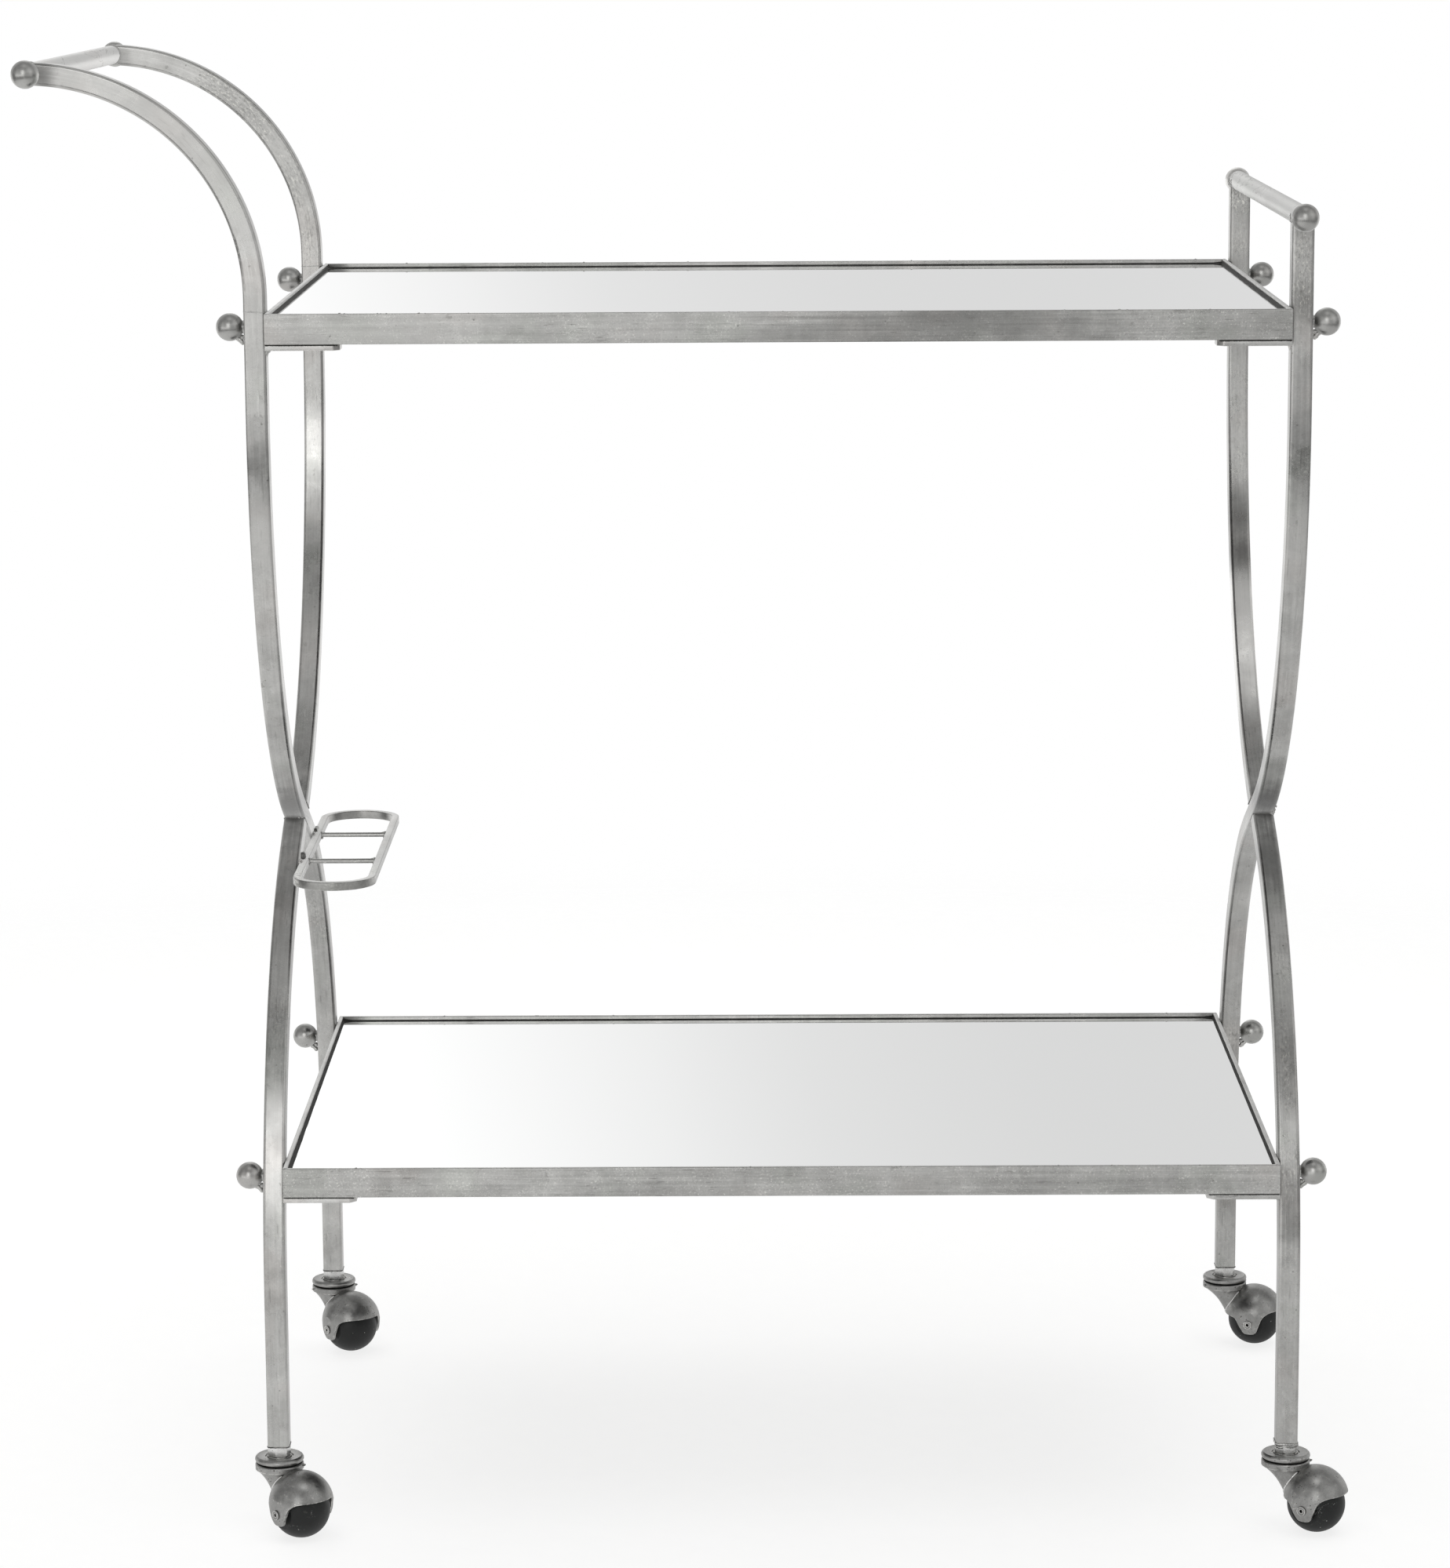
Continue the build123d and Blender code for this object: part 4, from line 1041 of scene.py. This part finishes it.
# ------------------------------------------------------------------ pressed rib where each hood's neck meets its dome
def crease(node, centre):
    """Points along the hollow corner between neck and dome, in mm, read from the node's own mesh."""
    bm = bmesh.new()
    bm.from_mesh(nodes[node].data)
    bmesh.ops.remove_doubles(bm, verts=bm.verts, dist=2e-6)
    link = {}
    for e in bm.edges:
        if len(e.link_faces) != 2 or e.calc_face_angle_signed(0.0) > -0.30:
            continue
        ok = True
        for v in e.verts:
            c = v.co / MM
            mid = Vector((centre[0], centre[1], min(22.7, max(18.6, c.z))))
            ok = ok and abs((c - mid).length - 20.9) < 0.12 and c.z < 40.0
        if ok:
            a, b = e.verts[0].index, e.verts[1].index
            link.setdefault(a, []).append(b)
            link.setdefault(b, []).append(a)
    co = {i: tuple(bm.verts[i].co / MM) for i in link} if bm.verts.ensure_lookup_table() is None else {}
    bm.free()
    best, seen = [], set()
    for start in sorted(link, key=lambda i: (len(link[i]), co[i])):
        if start in seen:
            continue
        chain, at = [start], start
        seen.add(start)
        while True:
            nxt = [j for j in link[at] if j not in seen]
            if not nxt:
                break
            at = nxt[0]
            seen.add(at)
            chain.append(at)
        if len(chain) > len(best):
            best = chain
    return [co[i] for i in best]


hubs = {"front_left": (-257.7446, -213.7208), "front_right": (394.8533, -209.5818),
        "rear_left": (-259.2592, 201.0307), "rear_right": (397.3431, 211.3045)}
for k, (c, hub) in enumerate(hubs.items()):
    line = crease(f"{c}_caster_hood", hub)
    path = []
    for q in line:
        if not path or (Vector(q) - Vector(path[-1])).length > 0.9:
            path.append(q)
    if len(path) > 6:
        piece(f"{c}_neck_rib", [bead(path, 0.66, 331 + k, lump=0.18, sides=8)], m_rib, body=f"{c}_caster")


# ------------------------------------------------------------------ upset rivet rims on the axle ends
rolls = {"front_left": (0.743145, 0.669131), "front_right": (0.559193, 0.829038),
         "rear_left": (0.798636, 0.601815), "rear_right": (0.34202, 0.939693)}
for k, (c, hub) in enumerate(hubs.items()):
    ax, ay = rolls[c]
    parts = []
    for s in (-1, 1):
        for rad, thick, out in ((2.75, 0.42, 20.85), (1.35, 0.34, 20.75)):
            ring = []
            for i in range(27):
                a = 2 * math.pi * i / 24
                u, v = rad * math.cos(a), rad * math.sin(a)
                ring.append((hub[0] + s * ax * out - ay * u, hub[1] + s * ay * out + ax * u, 18.6 + v))
            parts.append(bead(ring, thick, 351 + k * 5 + s + int(rad), lump=0.22, sides=8))
    piece(f"{c}_rivet_rims", parts, m_rivet, body=f"{c}_caster")


# ------------------------------------------------------------------ floor, light, camera
def disc(name, radius, rings):
    bm = bmesh.new()
    centre = bm.verts.new((0, 0, 0))
    last = None
    seg = 96
    for k in range(1, rings + 1):
        r = radius * k / rings
        ring = [bm.verts.new((r * math.cos(2 * math.pi * i / seg), r * math.sin(2 * math.pi * i / seg), 0))
                for i in range(seg)]
        for i in range(seg):
            j = (i + 1) % seg
            if last is None:
                bm.faces.new((centre, ring[i], ring[j]))
            else:
                bm.faces.new((last[i], ring[i], ring[j], last[j]))
        last = ring
    me = bpy.data.meshes.new(name)
    bm.to_mesh(me)
    bm.free()
    o = bpy.data.objects.new(name, me)
    scene.collection.objects.link(o)
    return o


floor = disc("studio_floor", 2.15, 30)
m_floor, t, bsdf = material("pale_floor")
P = t.add("ShaderNodeTexCoord").outputs["Object"]
grain = t.noise(P, 60.0, 3.0, 0.6)
pale = t.ramp(grain, [(0.3, (0.915, 0.915, 0.912)), (0.7, (0.925, 0.925, 0.922))])
# The floor glows by its own emission to stay evenly pale. In reflections alone it shows a dimmer tone, dimmer towards
# +x: painted shade standing in for light falling off across the floor.
across = t.add("ShaderNodeSeparateXYZ", {0: P}).outputs[0]
painted_shade = t.ramp(t.math("MULTIPLY_ADD", across, 0.8, 0.4), [(0.0, 0.80), (0.2, 0.78), (0.75, 0.62), (1.0, 0.60)])
tone = t.mix(t.add("ShaderNodeLightPath").outputs["Is Glossy Ray"], pale, painted_shade)
t.put(bsdf.inputs["Base Color"], t.mix(1.0, tone, (0.36, 0.36, 0.36), "MULTIPLY"))
t.put(bsdf.inputs["Emission Color"], tone)
bsdf.inputs["Emission Strength"].default_value = 0.82
bsdf.inputs["Roughness"].default_value = 0.8
bsdf.inputs["Specular IOR Level"].default_value = 0.1
far = t.add("ShaderNodeVectorMath", {0: P}, operation="LENGTH").outputs["Value"]
clear = t.add("ShaderNodeBsdfTransparent")
blend = t.add("ShaderNodeMixShader", {0: t.step(far, 1.68, 2.08)})
t.tree.links.new(bsdf.outputs[0], blend.inputs[1])
t.tree.links.new(clear.outputs[0], blend.inputs[2])
t.tree.links.new(blend.outputs[0], t.tree.nodes["Material Output"].inputs["Surface"])
floor.data.materials.append(m_floor)

# a white studio to the eye; to the metal, soft boxes and dark gaps between them
world = bpy.data.worlds.new("studio")
scene.world = world
world.cycles_visibility.diffuse = False
world.use_nodes = True
w = Tree(world.node_tree)
out = w.add("ShaderNodeOutputWorld")
D = w.add("ShaderNodeTexCoord").outputs["Generated"]
dx, dy, dz = w.add("ShaderNodeSeparateXYZ", {0: D}).outputs
front = w.step(dy, -0.12, -0.5)
leftward = w.step(dx, 0.14, -0.05)
near_left = w.math("MULTIPLY_ADD", w.step(dx, -0.42, -0.22), 0.8, 0.2)
# key box in front, left of the middle
key = w.math("MULTIPLY", front, w.band(dz, 0.02, 0.17, 0.48, 0.66))
key = w.math("MULTIPLY", w.math("MULTIPLY", key, near_left), w.math("MULTIPLY_ADD", leftward, 1.45, 0.36))
# low band of light in front
low = w.math("MULTIPLY", front, w.band(dz, -0.235, -0.16, 0.0, 0.12))
low = w.math("MULTIPLY", low, w.math("MULTIPLY_ADD", leftward, 0.74, 0.44))
# dimmer ceiling between the boxes
gap = w.math("MULTIPLY", w.band(dz, 0.50, 0.66, 0.84, 0.95), 0.20)
# overhead
over = w.math("ADD", w.math("MULTIPLY", w.step(dz, 0.86, 0.95), 0.26), gap)
crown = w.add("ShaderNodeVectorMath", {0: D, 1: (0.0, -0.25, 0.968)}, operation="DOT_PRODUCT").outputs["Value"]
over = w.math("MULTIPLY_ADD", w.step(crown, 0.95, 0.985), 0.35, over)
shoulder = w.math("MULTIPLY", w.step(dx, 0.22, 0.55), w.step(dy, 0.15, -0.25))
over = w.math("MULTIPLY_ADD", w.math("MULTIPLY", shoulder, w.band(dz, 0.25, 0.45, 0.90, 0.97)), 0.34, over)
# sides, darker below the horizon
side = w.step(w.math("ABSOLUTE", dx), 0.55, 0.85)
bright = w.math("MULTIPLY_ADD", w.step(dx, -0.2, 0.2), 0.16, 0.12)
side = w.math("MULTIPLY", side, w.math("MULTIPLY_ADD", w.band(dz, 0.02, 0.10, 0.35, 0.6), bright, 0.08))
# white wall behind, brightest on the left
wall = w.math("MULTIPLY", w.step(dy, 0.25, 0.65), w.band(dz, -0.55, -0.40, 0.55, 0.88))
shade = w.ramp(w.math("MULTIPLY_ADD", w.math("MULTIPLY_ADD", dz, -0.24, dx), 1.6, 0.573), [
    (0.09, 1.30), (0.317, 1.0), (0.378, 0.90), (0.449, 0.74), (0.50, 0.635), (0.58, 0.565), (0.75, 0.565),
    (0.845, 0.85), (0.98, 1.25)], "B_SPLINE")
# above the horizon the wall is greyer away from the middle
away = w.math("MAXIMUM", w.step(dx, 0.125, 0.26), w.step(dx, -0.125, -0.28))
away = w.math("MULTIPLY", away, w.step(dz, 0.0, 0.06))
shade = w.math("ADD", w.math("MULTIPLY", shade, w.math("SUBTRACT", 1.0, away)), w.math("MULTIPLY", away, 0.47))
wall = w.math("MULTIPLY", wall, shade)
total = w.math("ADD", w.math("ADD", key, low), w.math("ADD", over, side))
total = w.math("ADD", w.math("ADD", total, wall), 0.14)
lit = w.add("ShaderNodeBackground", {"Color": (1, 1, 1, 1), "Strength": total})
white = w.add("ShaderNodeBackground", {"Color": (1, 1, 1, 1), "Strength": 1.0})
seen = w.add("ShaderNodeMixShader", {0: w.add("ShaderNodeLightPath").outputs["Is Camera Ray"]})
w.tree.links.new(lit.outputs[0], seen.inputs[1])
w.tree.links.new(white.outputs[0], seen.inputs[2])
w.tree.links.new(seen.outputs[0], out.inputs["Surface"])


def softbox(name, loc, aim, size, power, shadow=True):
    data = bpy.data.lights.new(name, "AREA")
    data.shape = "RECTANGLE"
    data.size, data.size_y = size
    data.energy = power
    data.use_shadow = shadow
    o = bpy.data.objects.new(name, data)
    o.location = loc
    o.rotation_euler = (Vector(aim) - Vector(loc)).to_track_quat("-Z", "Y").to_euler()
    o.visible_glossy = False
    o.visible_camera = False
    scene.collection.objects.link(o)
    return o


softbox("fill", (0.0, 0.0, 3.5), (0, 0, 0), (6.0, 6.0), 120, shadow=False)
softbox("overhead", (0.0, 0.2, 4.0), (0, 0, 0), (5.0, 5.0), 60)
# a small lamp for the casters' hoods alone
lamp = softbox("hood_lamp", (0.31, -1.06, 2.80), (0.05, -0.1, 0.03), (0.70, 0.70), 3.4, shadow=False)
lamp.visible_glossy = True
group = bpy.data.collections.new("hood_lamp_group")
for n, o in nodes.items():
    if n.endswith("_hood"):
        group.objects.link(o)
lamp.light_linking.receiver_collection = group

# the mirrors show the plain wall, not the frame around them
for n, o in nodes.items():
    if n.endswith("_leg") or n.endswith("_arm") or n.endswith("_bar") or n.endswith("_finials") or n.endswith("_ball_nuts") or n.startswith("bottle_rack"):
        o.visible_glossy = False
for n in ("crossing_welds", "crossing_seams", "tab_weld_fillets", "nut_solder_runs", "rack_welds", "rack_burnt_tack", "handle_and_rail_welds", "tab_shadow_lines"):
    bpy.data.objects[n].visible_glossy = False

cam_data = bpy.data.cameras.new("camera")
cam_data.sensor_width = 36.0
cam_data.lens = 6250.0 * 36.0 / 1999.0
cam_data.clip_start, cam_data.clip_end = 0.05, 200.0
cam = bpy.data.objects.new("camera", cam_data)
scene.collection.objects.link(cam)
scene.camera = cam
yaw, pitch, roll = -0.0068, 0.1767, -0.0057
fwd = Vector((math.sin(yaw) * math.cos(pitch), math.cos(yaw) * math.cos(pitch), -math.sin(pitch)))
right = Vector((math.cos(yaw), -math.sin(yaw), 0))
up = right.cross(fwd)
r2 = math.cos(roll) * right + math.sin(roll) * up
u2 = -math.sin(roll) * right + math.cos(roll) * up
cam.matrix_world = Matrix((
    (r2.x, u2.x, -fwd.x, 0.0379),
    (r2.y, u2.y, -fwd.y, -3.2353),
    (r2.z, u2.z, -fwd.z, 1.0303),
    (0, 0, 0, 1),
))

scene.view_settings.view_transform = "Standard"
scene.view_settings.look = "None"
scene.view_settings.exposure = 0.0
scene.view_settings.gamma = 1.0
